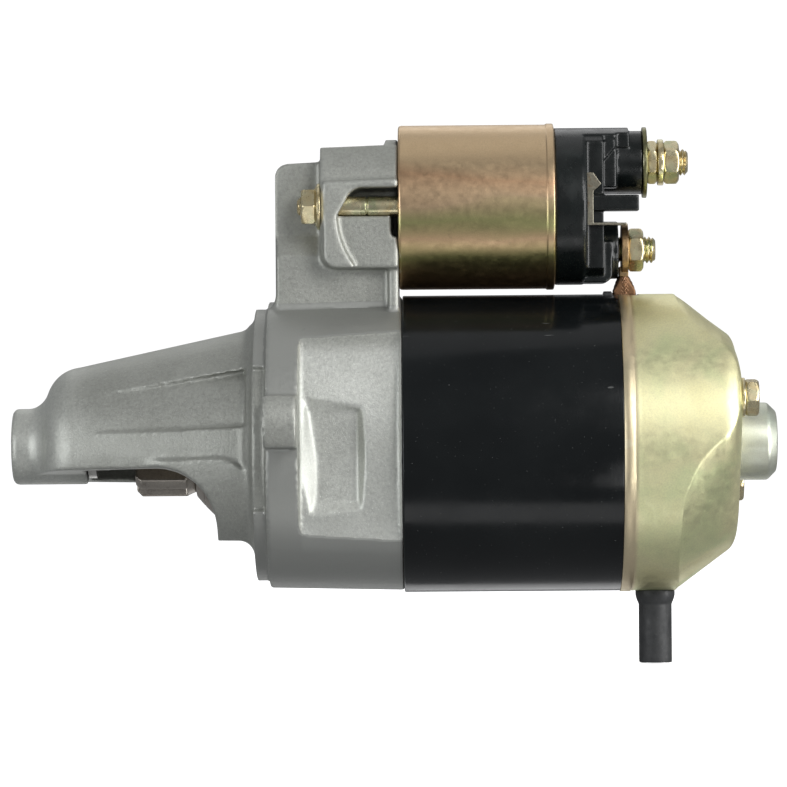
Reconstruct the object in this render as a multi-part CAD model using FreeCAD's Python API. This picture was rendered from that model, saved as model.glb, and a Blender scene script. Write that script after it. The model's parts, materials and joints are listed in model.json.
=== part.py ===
import FreeCAD, Part
import math
import os

# A pre-engaged car starter motor. X runs along the motor axis towards the rear cover, Z is up
# (the solenoid is on top) and the origin is where the motor axis meets the mounting flange face.

Vector = FreeCAD.Vector
X_AXIS = Vector(1, 0, 0)
Y_AXIS = Vector(0, 1, 0)
Z_AXIS = Vector(0, 0, 1)
ORIGIN = Vector(0, 0, 0)

# ---- driving dimensions, in millimetres and degrees ----
YOKE_R = 44.4
YOKE_WALL = 4.0
YOKE_FRONT = 40.0
YOKE_REAR = 104.4

CUP_R = 42.8
CUP_REAR_R = 43.7
CUP_BORE_R = 32.4
FLANGE_THICK = 9.6
REGISTER_R = 40.65
REGISTER_FRONT = -4.0
EAR_PCD = 104.0
EAR_Z = 7.2
EAR_HALF = 7.6
EAR_HOLE_R = 4.5

NOSE_FRONT = -77.0
NOSE_BACK = -54.8
NOSE_R = 11.4
CONE_START_R = 24.0
CONE_END_R = 34.2
CONE_END = -8.0
CONE_WALL = 3.8
OPENING_TILT = 5.9
OPENING_TOP = -9.0
OPENING_BOTTOM = -28.0
OPENING_REAR = -15.0

SHAFT_R = 6.0
SHAFT_TAIL_R = 5.0
SHAFT_TAIL_END = 146.5
SPLINE_CORE_R = 6.6
SPLINE_R = 8.0
SPLINE_COUNT = 6
SPLINE_WIDTH = 3.2
SPLINE_START = -3.0
SPLINE_END = 36.0
RUNNING = 0.06
CORE_R = 32.2
CORE_FRONT = 44.0
CORE_REAR = 92.0
CORE_SHAFT_R = 8.5
SLOTS = 24
COMM_R = 15.0
COMM_FRONT = 98.0
COMM_REAR = 117.0

PINION_TEETH = 9
MODULE = 2.75
PINION_TIP_R = 15.2
PINION_FRONT = -40.0
PINION_REAR = -24.8
RACE_R = 11.0
RACE_REAR = -3.3
BARREL_R = 21.5
BARREL_FRONT = -19.5
BARREL_REAR = -1.0
COVER_REAR_R = 18.2
ROLLER_R = 2.2
ROLLER_PITCH_R = 13.3
SLEEVE_R = 10.4
SLEEVE_REAR = 32.6
COLLAR_R = 17.0
COLLAR_WIDTH = 2.5

PIVOT_X = 20.0
PIVOT_Z = 45.0
PIVOT_R = 3.0
LEVER_SWING = 16.5
LEVER_DOWN = 39.0
LEVER_UP = 25.8
LEVER_THICK = 5.0
SHOE_R = 4.2
SHOE_SLACK = 0.3

SOLENOID_Z = 70.8
SOLENOID_R = 24.6
SOLENOID_WALL = 1.8
SOLENOID_FRONT = 39.0
SOLENOID_REAR = 85.6
BOX_FRONT = 16.0
BOX_HALF_Y = 24.6
BOX_TOP = 88.2
BOX_BOTTOM = 52.2
PLUNGER_R = 9.4
PLUNGER_FRONT = 33.0
PLUNGER_REAR = 60.0
STUD_Y = 19.0
STUD_Z = 70.5
CAP_R = 23.5
CAP_STEP = 95.0
BATTERY_Z = 83.8
MOTOR_Z = 57.6
TERMINAL_R = 4.0
SPADE_Z = 71.3
LEAD_TOP = 49.6

COVER_WALL = 1.8
COVER_LIP_END = 109.0
COVER_EDGE = 4.5
PLATEAU = 139.0
SCOOP_FRONT = 120.7
SCOOP_SLOPE = 0.741
RIDGE_TURN = 68.3
BOLT_CIRCLE_R = 35.6
BOLT_R = 2.5
BOLT_WASHER = 1.0
CAP_CUP_R = 11.6
CAP_CUP_END = 151.5

PLATE_FRONT = 118.0
PLATE_REAR = 119.6
BRUSH_TURN = RIDGE_TURN - 45.0
BRUSH_OUTER = 26.0
HOLDER_OUTER = 34.0

DRAIN_X = 115.0
DRAIN_R = 4.95
DRAIN_END = -66.0

LEVER_REST = -LEVER_SWING / 2
GROOVE_X = PIVOT_X - LEVER_DOWN * math.sin(math.radians(LEVER_REST))
FINGER_X = PIVOT_X + LEVER_UP * math.sin(math.radians(LEVER_REST))
GROOVE_HALF = SHOE_R + SHOE_SLACK


# ---- shared helpers ----
def rod(radius, start, end, y=0.0, z=0.0):
    """A solid cylinder along X."""
    return Part.makeCylinder(radius, end - start, Vector(start, y, z), X_AXIS)


def ring(outer, inner, start, end, y=0.0, z=0.0):
    """A plain tube along X."""
    return rod(outer, start, end, y, z).cut(rod(inner, start - 1, end + 1, y, z))


def cone(radius_a, radius_b, start, end, y=0.0, z=0.0):
    return Part.makeCone(radius_a, radius_b, end - start, Vector(start, y, z), X_AXIS)


def block(x0, x1, y0, y1, z0, z1):
    return Part.makeBox(x1 - x0, y1 - y0, z1 - z0, Vector(x0, y0, z0))


def outline(start, steps, place):
    """A closed face from a start point and steps. A step is a point, or (middle, point) for an arc."""
    edges = []
    here = start
    for step in list(steps) + [start]:
        if isinstance(step[0], tuple):
            middle, there = step
            edges.append(Part.Arc(place(here), place(middle), place(there)).toShape())
        else:
            there = step
            edges.append(Part.LineSegment(place(here), place(there)).toShape())
        here = there
    return Part.Face(Part.Wire(edges))


def turned(start, steps):
    """A solid of revolution about the motor axis, from points (x, radius)."""
    face = outline(start, steps, lambda p: Vector(p[0], 0, p[1]))
    return face.revolve(ORIGIN, X_AXIS, 360)


def side_prism(start, steps, y0, y1):
    """A prism along Y of an outline seen from the side, from points (x, z)."""
    face = outline(start, steps, lambda p: Vector(p[0], y0, p[1]))
    return face.extrude(Vector(0, y1 - y0, 0))


def fused(shapes):
    whole = shapes[0]
    for shape in shapes[1:]:
        whole = whole.fuse(shape)
    return whole.removeSplitter()


def carved(shape, tools):
    """The shape with each tool cut away in turn, so that the tools may overlap."""
    for tool in tools:
        shape = shape.cut(tool)
    return shape


def group(shapes):
    """Separate solids in one node."""
    solids = []
    for shape in shapes:
        solids.extend(shape.Solids)
    return Part.makeCompound(solids)


def turn_x(shape, degrees):
    """A copy turned about the motor axis."""
    turned_copy = shape.copy()
    turned_copy.rotate(ORIGIN, X_AXIS, degrees)
    return turned_copy


def lifted(shape, z):
    moved = shape.copy()
    moved.translate(Vector(0, 0, z))
    return moved


def mirrored(shape):
    """The same shape on the far side of the vertical plane through the axis."""
    return shape.mirror(ORIGIN, Y_AXIS)


def both_sides(shape):
    return [shape, mirrored(shape)]


def hexagon(across_flats, start, end, y=0.0, z=0.0, first_corner=0.0):
    """A hexagonal prism along X with its end corners turned off."""
    chamfer = 0.6
    corner_r = across_flats / math.sqrt(3)
    corners = []
    for i in range(7):
        angle = math.radians(60 * i + first_corner)
        corners.append(Vector(start, y + corner_r * math.cos(angle), z + corner_r * math.sin(angle)))
    prism = Part.Face(Part.makePolygon(corners)).extrude(Vector(end - start, 0, 0))
    blank = fused([
        cone(corner_r - 1.6 * chamfer, corner_r + 0.1, start, start + chamfer, y, z),
        rod(corner_r + 0.1, start + chamfer, end - chamfer, y, z),
        cone(corner_r + 0.1, corner_r - 1.6 * chamfer, end - chamfer, end, y, z),
    ])
    return prism.common(blank)


def coil_spring(radius, wire_r, start, end, turns):
    """A helical spring along X with its wire's centre on the radius."""
    height = end - start - 2 * wire_r
    helix = Part.makeHelix(height / turns, height, radius)
    circle = Part.Wire(Part.makeCircle(wire_r, Vector(radius, 0, 0), Y_AXIS))
    pipe = Part.Wire(helix).makePipeShell([circle], True, True)
    pipe.rotate(ORIGIN, Y_AXIS, 90)
    pipe.translate(Vector(start + wire_r, 0, 0))
    return pipe


# ---- drive housing ----
def cone_radius(x):
    """Outer radius of the nose cone's straight flank."""
    share = (x + 57.0) / (CONE_END + 57.0)
    return CONE_START_R - 0.3 + share * (CONE_END_R - CONE_START_R + 0.3)


def nose_shell():
    outer = turned((NOSE_FRONT, 0), [
        (NOSE_FRONT, NOSE_R - 1.0),
        (NOSE_FRONT + 1.0, NOSE_R),
        (-71.5, NOSE_R),
        ((-68.2, 13.3), (-66.4, 16.2)),
        ((-63.1, 21.1), (-57.0, cone_radius(-57.0))),
        (CONE_END, CONE_END_R),
        ((-5.6, 35.9), (REGISTER_FRONT, 39.0)),
        (1.0, 39.0),
        (1.0, 0),
    ])
    inner = turned((NOSE_BACK, 0), [
        (NOSE_BACK, 18.5),
        ((-53.6, 20.2), (-51.0, cone_radius(-51.0) - CONE_WALL)),
        (CONE_END, CONE_END_R - CONE_WALL),
        (2.0, CONE_END_R - CONE_WALL),
        (2.0, 0),
    ])
    return outer.cut(inner)


def opening_cutter():
    """The space below the nose, where the engine's ring gear comes in."""
    corner = 18.0
    below = -60.0
    side_window = side_prism((-72.0, OPENING_TOP), [
        (OPENING_REAR - corner, OPENING_TOP),
        ((OPENING_REAR - corner + 12.7, OPENING_TOP - 5.3), (OPENING_REAR, OPENING_TOP - corner)),
        (OPENING_REAR, below),
        (-72.0, below),
    ], -50.0, 50.0)
    side_window.rotate(ORIGIN, X_AXIS, -OPENING_TILT)
    underside = side_prism((-72.0, OPENING_BOTTOM), [
        (CONE_END, OPENING_BOTTOM),
        ((-5.6, OPENING_BOTTOM - 1.2), (REGISTER_FRONT, OPENING_BOTTOM - 4.6)),
        (REGISTER_FRONT, below),
        (-72.0, below),
    ], -50.0, 50.0)
    return fused([side_window, underside])


def flank_step():
    """The shallow step that leaves a raised crown along the top of the nose."""
    depth = 2.6
    wedge = turned((-54.0, cone_radius(-54.0)), [
        (-6.0, cone_radius(-6.0) - depth),
        (-6.0, 60.0),
        (-54.0, 60.0),
    ])
    band = side_prism((-54.0, 14.9), [(-4.4, 22.9), (-4.4, 5.8), (-54.0, 3.6)], -50.0, 0.0)
    return wedge.common(band)


def opening_lip():
    """The thicker border of the nose wall round the opening."""
    proud = 1.3
    skin = turned((-36.0, cone_radius(-36.0) - 2), [
        (-36.0, cone_radius(-36.0)),
        (-30.0, cone_radius(-30.0) + proud),
        (REGISTER_FRONT, cone_radius(REGISTER_FRONT) + proud),
        (REGISTER_FRONT, cone_radius(REGISTER_FRONT) - 2),
    ])
    band = side_prism((-36.0, -4.2), [
        (-14.0, -3.4),
        ((-6.6, -7.4), (-4.6, -16.0)),
        (-4.6, -40.0),
        (-36.0, -40.0),
    ], -50.0, -5.0)
    return skin.common(band)


def nose():
    shell = carved(nose_shell(), both_sides(flank_step()))
    shell = fused([shell] + both_sides(opening_lip()))
    boss = rod(NOSE_R, NOSE_FRONT + 1.0, NOSE_BACK)
    return fused([shell.cut(opening_cutter()), boss])


def ear_reach():
    """How far the ear holes are from the upright plane through the axis."""
    return math.sqrt((EAR_PCD / 2) ** 2 - EAR_Z ** 2)


def mounting_ears():
    """Two lugs for the bolts, opposite each other across the flange."""
    shoulder = ear_reach() + 4.6
    tip = ear_reach() + EAR_HALF
    lug = outline((-34.0, EAR_Z + EAR_HALF), [
        (-34.0, EAR_Z - EAR_HALF),
        (-shoulder, EAR_Z - EAR_HALF),
        ((-tip, EAR_Z), (-shoulder, EAR_Z + EAR_HALF)),
    ], lambda p: Vector(0, p[0], p[1])).extrude(Vector(FLANGE_THICK, 0, 0))
    return [lug, turn_x(lug, 180)]


def ear_holes():
    hole = rod(EAR_HOLE_R, -1, FLANGE_THICK + 1, -ear_reach(), EAR_Z)
    return [hole, turn_x(hole, 180)]


def closed_wire(points, y):
    """A polygon in the plane of one Y, from points (x, z)."""
    corners = [Vector(x, y, z) for x, z in points + points[:1]]
    return Part.makePolygon(corners)


def cup_pocket():
    """A deeper hollow with sloping walls in the cup's relief."""
    front = FLANGE_THICK
    mouth = [
        (front, 22.0), (29.4, 12.3), (29.4, -23.0), (front, -29.0),
        (front, -15.0), (front, -6.0), (front, 4.0),
    ]
    floor = [
        (12.0, 10.0), (26.9, 10.0), (26.9, -16.3), (14.2, -16.3),
        (14.9, -11.0), (14.8, -4.0), (13.5, 4.0),
    ]
    mouth_y = -38.6
    slope = Part.makeLoft([closed_wire(mouth, mouth_y), closed_wire(floor, -34.5)], True, True)
    outside = Part.Face(closed_wire(mouth, mouth_y)).extrude(Vector(0, -20, 0))
    return fused([slope, outside])


def cup_relief():
    """The as-cast relief on one flank of the cup."""
    bow_r = 70.8
    bow = Part.makeCylinder(bow_r, 31.0, Vector(FLANGE_THICK, bow_r - 37.95, -2.9), X_AXIS)
    return block(FLANGE_THICK, YOKE_FRONT - 0.5, -60, -20, -40, 45).cut(bow)


def lever_casing():
    """The hollow neck and snout that carry the shift lever up to the solenoid."""
    snout = side_prism((2.4, 38.0), [
        (2.4, 79.6),
        ((3.5, 82.5), (6.2, 83.7)),
        (BOX_FRONT + 1, 84.3),
        (BOX_FRONT + 1, 38.0),
    ], -12.0, 12.0)
    foot = side_prism((0.0, 30.0), [
        (0.0, 40.4),
        ((1.6, 41.8), (2.4, 44.6)),
        (14.0, 46.0),
        (14.0, 30.0),
    ], -14.0, 14.0)
    flank = outline((15.0, 34.0), [(15.0, 56.0), (12.0, 62.5), (-12.0, 62.5), (-15.0, 56.0), (-15.0, 34.0)],
                    lambda p: Vector(2.8, p[0], p[1]))
    neck = flank.extrude(Vector(SOLENOID_FRONT - 2.8, 0, 0))
    rib = block(36.0, SOLENOID_FRONT, -19.0, 19.0, 36.0, 56.0)
    return [snout, foot, neck, rib]


def seat_profile(front, top, half_y):
    """One plate of the solenoid seat, with its lower front corner rounded."""
    corner = 4.0
    return side_prism((front, top), [
        (SOLENOID_FRONT, top + 0.8),
        (SOLENOID_FRONT, BOX_BOTTOM),
        (front + corner, BOX_BOTTOM),
        ((front + 0.3 * corner, BOX_BOTTOM + 0.3 * corner), (front, BOX_BOTTOM + corner)),
    ], -half_y, half_y)


def solenoid_seat():
    """The block that the solenoid bolts to, with a slot on each side that shows its stud."""
    crown = seat_profile(BOX_FRONT, BOX_TOP, BOX_HALF_Y)
    crown = crown.common(rod(23.8, BOX_FRONT, SOLENOID_FRONT, 0, SOLENOID_Z))
    side_boss = seat_profile(BOX_FRONT + 0.9, 77.8, BOX_HALF_Y)
    rim = rod(20.4, 35.0, SOLENOID_FRONT, 0, SOLENOID_Z)
    body = fused([crown, side_boss, rim])
    slot = side_prism((SOLENOID_FRONT + 1, 75.9), [
        (SOLENOID_FRONT + 1, 68.2),
        (21.3, 68.2),
        (23.6, 72.2),
        ((25.3, 74.7), (28.0, 75.9)),
    ], -30.0, -13.0)
    hollow = side_prism((21.0, 68.4), [
        (SOLENOID_FRONT + 1, 68.4),
        (SOLENOID_FRONT + 1, 50.0),
        (27.4, 50.0),
        (25.4, 54.0),
        ((22.2, 60.5), (21.0, 67.0)),
    ], -30.0, -20.9)
    notch = block(37.0, SOLENOID_FRONT + 1, -30.0, -13.0, 61.5, 68.4)
    return carved(body, both_sides(slot) + both_sides(hollow) + both_sides(notch))


def register():
    """The pilot ring in front of the flange, cut away on the near side."""
    whole = rod(REGISTER_R, REGISTER_FRONT, 0.5)
    gap = block(REGISTER_FRONT - 1, 0, -60, -26, -19, 23).cut(rod(37.4, -10, 1))
    return whole.cut(gap)


def drive_housing():
    cup = fused([cone(CUP_R, CUP_REAR_R, 0, YOKE_FRONT - 0.5), rod(CUP_REAR_R, YOKE_FRONT - 0.5, YOKE_FRONT)])
    cup = carved(cup, both_sides(cup_relief()) + both_sides(cup_pocket()))
    spigot = ring(YOKE_R - YOKE_WALL, YOKE_R - YOKE_WALL - 2.0, YOKE_FRONT - 0.5, YOKE_FRONT + 3)
    walls = [cup, register(), rod(36.0, -6.0, 2.0)] + mounting_ears() + lever_casing() + [solenoid_seat()]
    body = fused(walls)
    body = body.cut(rod(CONE_END_R - CONE_WALL, REGISTER_FRONT - 3, FLANGE_THICK + 1))
    body = body.cut(opening_cutter())
    body = body.cut(rod(CUP_BORE_R, FLANGE_THICK, YOKE_FRONT + 1))
    body = fused([body, nose(), spigot])
    cavities = [
        rod(8.0, -74.5, NOSE_BACK + 1),
        block(5.4, 36.0, -8.5, 8.5, 20.0, 81.0),
        rod(10.6, 22.0, SOLENOID_FRONT + 1, 0, SOLENOID_Z),
        Part.makeCylinder(PIVOT_R, 25.0, Vector(PIVOT_X, -12.5, PIVOT_Z), Y_AXIS),
    ]
    for y in (-STUD_Y, STUD_Y):
        cavities.append(rod(3.2, BOX_FRONT - 1, SOLENOID_FRONT + 1, y, STUD_Z))
    for turn in (0, 180):
        bolt = rod(BOLT_R, 21.0, YOKE_FRONT + 4, 0, BOLT_CIRCLE_R)
        cavities.append(turn_x(bolt, RIDGE_TURN + turn))
    return carved(body, cavities + ear_holes()).removeSplitter()


def nose_bush():
    return ring(8.0, SHAFT_R + RUNNING, -74.4, -56.0)


def pivot_pin():
    return Part.makeCylinder(PIVOT_R, 24.6, Vector(PIVOT_X, -12.3, PIVOT_Z), Y_AXIS)


# ---- yoke and field ----
def lead_window():
    """The gap at the top, across the yoke's rear edge and the cover's lip, that the grommet fills."""
    return block(100.2, 110.6, -6.5, 6.5, 36.0, 50.0)


def yoke():
    return ring(YOKE_R, YOKE_R - YOKE_WALL, YOKE_FRONT, YOKE_REAR).cut(lead_window())


def arc_piece(outer, inner, start, end, span):
    """A stretch of tube wall, centred on the top and span degrees wide."""
    half = math.radians(span / 2)
    far = 80.0
    wedge = outline((0, 0), [
        (-far * math.sin(half), far * math.cos(half)),
        (far * math.sin(half), far * math.cos(half)),
    ], lambda p: Vector(start, p[0], p[1])).extrude(Vector(end - start, 0, 0))
    return ring(outer, inner, start, end).common(wedge)


def four_round(shape, first):
    """Four copies at right angles about the motor axis."""
    return [turn_x(shape, first + 90 * i) for i in range(4)]


def field_magnets():
    magnet = arc_piece(YOKE_R - YOKE_WALL, CORE_R + 0.9, 46.0, 92.0, 68.0)
    return group(four_round(magnet, BRUSH_TURN))


def magnet_clips():
    bore_r = YOKE_R - YOKE_WALL
    band = arc_piece(bore_r, bore_r - 1.5, 52.0, 86.0, 15.0)
    return group(four_round(band, RIDGE_TURN))


# ---- rear cover ----
def cover_drum(wall):
    """The cover as if it were a plain cup, or its inner form when a wall is given."""
    start = YOKE_REAR - (1 if wall else 0)
    radius = YOKE_R - wall
    top = PLATEAU - wall
    edge = COVER_EDGE
    return turned((start, 0), [
        (start, radius),
        (top - edge, radius),
        ((top - 0.3 * edge, radius - 0.3 * edge), (top, radius - edge)),
        (top, 0),
    ])


def cover_scoop(wall):
    """The same cup pressed in to a cone, as it is on both sides of the ridge."""
    start = YOKE_REAR - (1 if wall else 0)
    radius = YOKE_R - wall
    top = PLATEAU - wall
    fall = wall * (math.sqrt(1 + SCOOP_SLOPE ** 2) - 1)
    bend = SCOOP_FRONT + fall / SCOOP_SLOPE - 0.4
    rim_r = radius - fall - SCOOP_SLOPE * (top - 2.0 - SCOOP_FRONT)
    return turned((start, 0), [
        (start, radius),
        (bend, radius),
        (top - 2.0, rim_r),
        ((top - 0.6, rim_r - 1.6), (top, rim_r - 3.4)),
        (top, 0),
    ])


def cover_ridge(wall):
    """The oblong ridge that stands up across the cover between its two bolts, drawn along Z."""
    near = YOKE_R + 1.0
    inset = 0.8 * wall
    side = [
        (121.0 - inset, near),
        ((123.3 - inset, 27.4 - inset), (129.4 - inset, 18.4 - inset)),
        ((134.4 - inset, 14.2 - inset), (PLATEAU + 0.5 - inset, 4.5)),
    ]
    other_side = [
        (PLATEAU + 0.5 - inset, -4.5),
        ((134.4 - inset, inset - 14.2), (129.4 - inset, inset - 18.4)),
        ((123.3 - inset, inset - 27.4), (121.0 - inset, -near)),
    ]
    face = outline((100.0, near), side + other_side + [(100.0, -near)], lambda p: Vector(p[0], p[1], -60.0))
    band = turn_x(face.extrude(Vector(0, 0, 120.0)), RIDGE_TURN)
    return cover_drum(wall).common(band)


def cover_blank(wall):
    """The cover's outer form, or its inner form when a wall is given."""
    return fused([cover_scoop(wall), cover_ridge(wall)])


def in_ridge_frame(shape):
    """A shape drawn with the ridge along Z, turned to where the ridge lies, and its opposite."""
    placed = turn_x(shape, RIDGE_TURN)
    return [placed, turn_x(placed, 180)]


def rear_cover():
    shell = cover_blank(0.0).cut(cover_blank(COVER_WALL))
    lip = ring(YOKE_R + 0.25, YOKE_R - COVER_WALL, YOKE_REAR, COVER_LIP_END)
    hub = rod(11.2, 133.5, PLATEAU)
    shell = fused([shell, lip, hub])
    cuts = [rod(8.0, 130.0, PLATEAU + 1), lead_window()]
    cuts += in_ridge_frame(rod(BOLT_R + 0.3, 100.0, PLATEAU + 1, 0, BOLT_CIRCLE_R))
    cuts += in_ridge_frame(rod(2.1, 130.0, PLATEAU + 1, 7.8, 16.0))
    cuts.append(Part.makeCylinder(4.0, 8.0, Vector(DRAIN_X, 0, -38.0), Vector(0, 0, -1)))
    return carved(shell, cuts).removeSplitter()


def rear_bush():
    return ring(8.0, SHAFT_TAIL_R + RUNNING, 133.5, PLATEAU)


def bearing_cap():
    wall = 1.2
    corner = 3.6
    outer = turned((PLATEAU, 0), [
        (PLATEAU, CAP_CUP_R),
        (CAP_CUP_END - corner, CAP_CUP_R),
        ((CAP_CUP_END - 0.3 * corner, CAP_CUP_R - 0.3 * corner), (CAP_CUP_END, CAP_CUP_R - corner)),
        (CAP_CUP_END, 0),
    ])
    return outer.cut(rod(CAP_CUP_R - wall, PLATEAU - 1, CAP_CUP_END - wall - 1.5))


def through_bolts():
    seat = PLATEAU + BOLT_WASHER
    head = hexagon(10.0, seat, seat + 4.0, 0, BOLT_CIRCLE_R)
    bolt = fused([rod(BOLT_R, 21.5, seat + 0.1, 0, BOLT_CIRCLE_R), head])
    return group(in_ridge_frame(bolt))


def through_bolt_washers():
    washer = ring(5.8, BOLT_R, PLATEAU, PLATEAU + BOLT_WASHER, 0, BOLT_CIRCLE_R)
    return group(in_ridge_frame(washer))


def drain_tube():
    """The moulded rubber drain hose under the rear cover."""
    head_r = DRAIN_R + 0.95
    top = -math.sqrt(YOKE_R ** 2 - head_r ** 2) + 0.3
    profile = outline((0, -40.5), [
        (4.0, -40.5),
        (4.0, top),
        (head_r, top),
        (head_r, -45.6),
        ((head_r - 0.3, -46.9), (DRAIN_R, -48.4)),
        (DRAIN_R, DRAIN_END),
        (0, DRAIN_END),
    ], lambda p: Vector(DRAIN_X + p[0], 0, p[1]))
    body = profile.revolve(Vector(DRAIN_X, 0, 0), Z_AXIS, 360)
    bore = Part.makeCylinder(2.8, 40.0, Vector(DRAIN_X, 0, -70.0), Z_AXIS)
    spigot = Part.makeCylinder(4.0, 60.0, Vector(DRAIN_X, 0, -60), Z_AXIS)
    cover_wall = rod(YOKE_R, YOKE_REAR, 125.0).cut(spigot)
    return carved(body, [bore, cover_wall])


# ---- brush gear ----
def brush_plate():
    plate = ring(40.0, 9.5, PLATE_FRONT, PLATE_REAR)
    cuts = in_ridge_frame(rod(BOLT_R + 0.4, 110.0, 125.0, 0, BOLT_CIRCLE_R))
    cuts += in_ridge_frame(rod(2.0, 110.0, 125.0, 7.8, 16.0))
    return carved(plate, cuts)


def brush_plate_screws():
    screw = fused([
        rod(2.0, PLATE_FRONT, PLATEAU + 0.1, 7.8, 16.0),
        rod(3.6, PLATEAU, PLATEAU + 1.1, 7.8, 16.0),
        cone(3.6, 2.6, PLATEAU + 1.1, PLATEAU + 1.7, 7.8, 16.0),
    ])
    return group(in_ridge_frame(screw))


def brush_holders():
    outer = block(101.0, PLATE_FRONT, -5.5, 5.5, 16.5, HOLDER_OUTER)
    channel = block(102.2, 116.4, -4.1, 4.1, 15.0, HOLDER_OUTER - 1.0)
    return group(four_round(outer.cut(channel), BRUSH_TURN))


def brush(number):
    carbon = block(102.3, 116.3, -4.0, 4.0, 12.0, BRUSH_OUTER).cut(rod(COMM_R + 0.1, 100.0, 118.0))
    return turn_x(carbon, BRUSH_TURN + 90 * number)


def brush_springs():
    spring = coil_spring(2.5, 0.5, 0.0, HOLDER_OUTER - 1.0 - BRUSH_OUTER - 0.1, 5)
    spring.rotate(ORIGIN, Y_AXIS, -90)
    spring.translate(Vector(109.3, 0, BRUSH_OUTER + 0.05))
    return group(four_round(spring, BRUSH_TURN))


# ---- armature ----
def ridges(inner, outer, width, start, end, count, first=0.0):
    """Straight teeth round the motor axis."""
    tooth = block(start, end, -width / 2, width / 2, inner, outer)
    return [turn_x(tooth, first + 360.0 * i / count) for i in range(count)]


def armature_shaft():
    spline = fused([rod(SPLINE_CORE_R, SPLINE_START, SPLINE_END)]
                   + ridges(3.0, SPLINE_R + 1, SPLINE_WIDTH, SPLINE_START, SPLINE_END, SPLINE_COUNT))
    spline = spline.common(rod(SPLINE_R, SPLINE_START, SPLINE_END))
    return fused([
        cone(SHAFT_R - 0.8, SHAFT_R, -74.0, -73.2),
        rod(SHAFT_R, -73.2, SPLINE_START),
        spline,
        rod(CORE_SHAFT_R, SPLINE_END, COMM_REAR),
        rod(6.5, COMM_REAR, 131.0),
        rod(SHAFT_TAIL_R, 131.0, SHAFT_TAIL_END),
    ])


def armature_core():
    core = ring(CORE_R, CORE_SHAFT_R, CORE_FRONT, CORE_REAR)
    slots = ridges(22.0, CORE_R + 1, 2.2, CORE_FRONT - 1, CORE_REAR + 1, SLOTS)
    return core.cut(group(slots))


def armature_windings():
    """Copper bars in the slots and the two rings of end turns."""
    front = ring(29.5, 12.0, CORE_FRONT - 6.0, CORE_FRONT)
    rear = ring(29.5, 12.0, CORE_REAR, 97.4)
    bars = ridges(22.2, 30.4, 2.0, CORE_FRONT - 0.5, CORE_REAR + 0.5, SLOTS)
    return fused([front, rear] + bars)


def commutator():
    bars = fused([ring(COMM_R, CORE_SHAFT_R, COMM_FRONT, COMM_REAR), ring(17.0, CORE_SHAFT_R, 97.5, 99.8)])
    gaps = ridges(COMM_R - 1.2, 18.0, 0.6, 97.0, COMM_REAR + 1, SLOTS)
    return bars.cut(group(gaps))


def armature_shims():
    return ring(8.6, SHAFT_TAIL_R, 131.0, 133.2)


def end_clip():
    return ring(7.4, SHAFT_TAIL_R, PLATEAU + 1.0, PLATEAU + 2.2)


def stop_collar():
    return fused([ring(9.6, SHAFT_R, -54.3, -51.9), ring(8.8, SHAFT_R, -54.5, -54.3)])


# ---- drive: pinion and overrunning clutch ----
def tooth_space():
    """One gap between pinion teeth, cut down from beyond the tip."""
    pitch_r = MODULE * PINION_TEETH / 2
    root_r = pitch_r - 1.05 * MODULE
    half_pitch = 0.48 * math.pi * MODULE / 2
    top = PINION_TIP_R + 1.0
    wide = half_pitch + (top - pitch_r) * 0.42
    narrow = half_pitch - (pitch_r - root_r) * 0.42
    face = outline((-narrow, root_r), [
        ((-half_pitch * 1.02, pitch_r), (-wide, top)),
        (wide, top),
        ((half_pitch * 1.02, pitch_r), (narrow, root_r)),
    ], lambda p: Vector(PINION_FRONT - 1, p[0], p[1]))
    return face.extrude(Vector(PINION_REAR - PINION_FRONT + 1.0, 0, 0))


def pinion():
    """The nine-tooth pinion and the clutch's inner race in one piece."""
    chamfer = 1.6
    blank = fused([
        cone(PINION_TIP_R - chamfer, PINION_TIP_R, PINION_FRONT, PINION_FRONT + chamfer),
        rod(PINION_TIP_R, PINION_FRONT + chamfer, PINION_REAR),
    ])
    gap = tooth_space()
    teeth = blank.cut(group([turn_x(gap, 360.0 * i / PINION_TEETH) for i in range(PINION_TEETH)]))
    shoulder = cone(15.0, 13.9, PINION_REAR, -22.2)
    race = rod(RACE_R, -22.3, RACE_REAR)
    return fused([teeth, shoulder, race]).cut(rod(SHAFT_R + RUNNING, -45.0, 0.0))


def clutch_barrel():
    shell = turned((BARREL_FRONT, 15.6), [
        (BARREL_FRONT, COVER_REAR_R),
        (BARREL_FRONT + BARREL_R - COVER_REAR_R, BARREL_R),
        (BARREL_REAR - 2.0, BARREL_R),
        (BARREL_REAR, BARREL_R - 2.0),
        (BARREL_REAR, SLEEVE_R),
        (BARREL_REAR - 2.0, SLEEVE_R),
        (BARREL_REAR - 2.0, 15.6),
    ])
    return shell


def clutch_cover():
    return cone(COVER_REAR_R - 2.9, COVER_REAR_R, BARREL_FRONT - 2.5, BARREL_FRONT).cut(rod(11.7, -30.0, 0.0))


def clutch_rollers():
    rollers = []
    for i in range(5):
        roller = rod(ROLLER_R, BARREL_FRONT + 1.5, BARREL_REAR - 4.0, 0, ROLLER_PITCH_R)
        rollers.append(turn_x(roller, 72.0 * i))
    return group(rollers)


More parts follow.
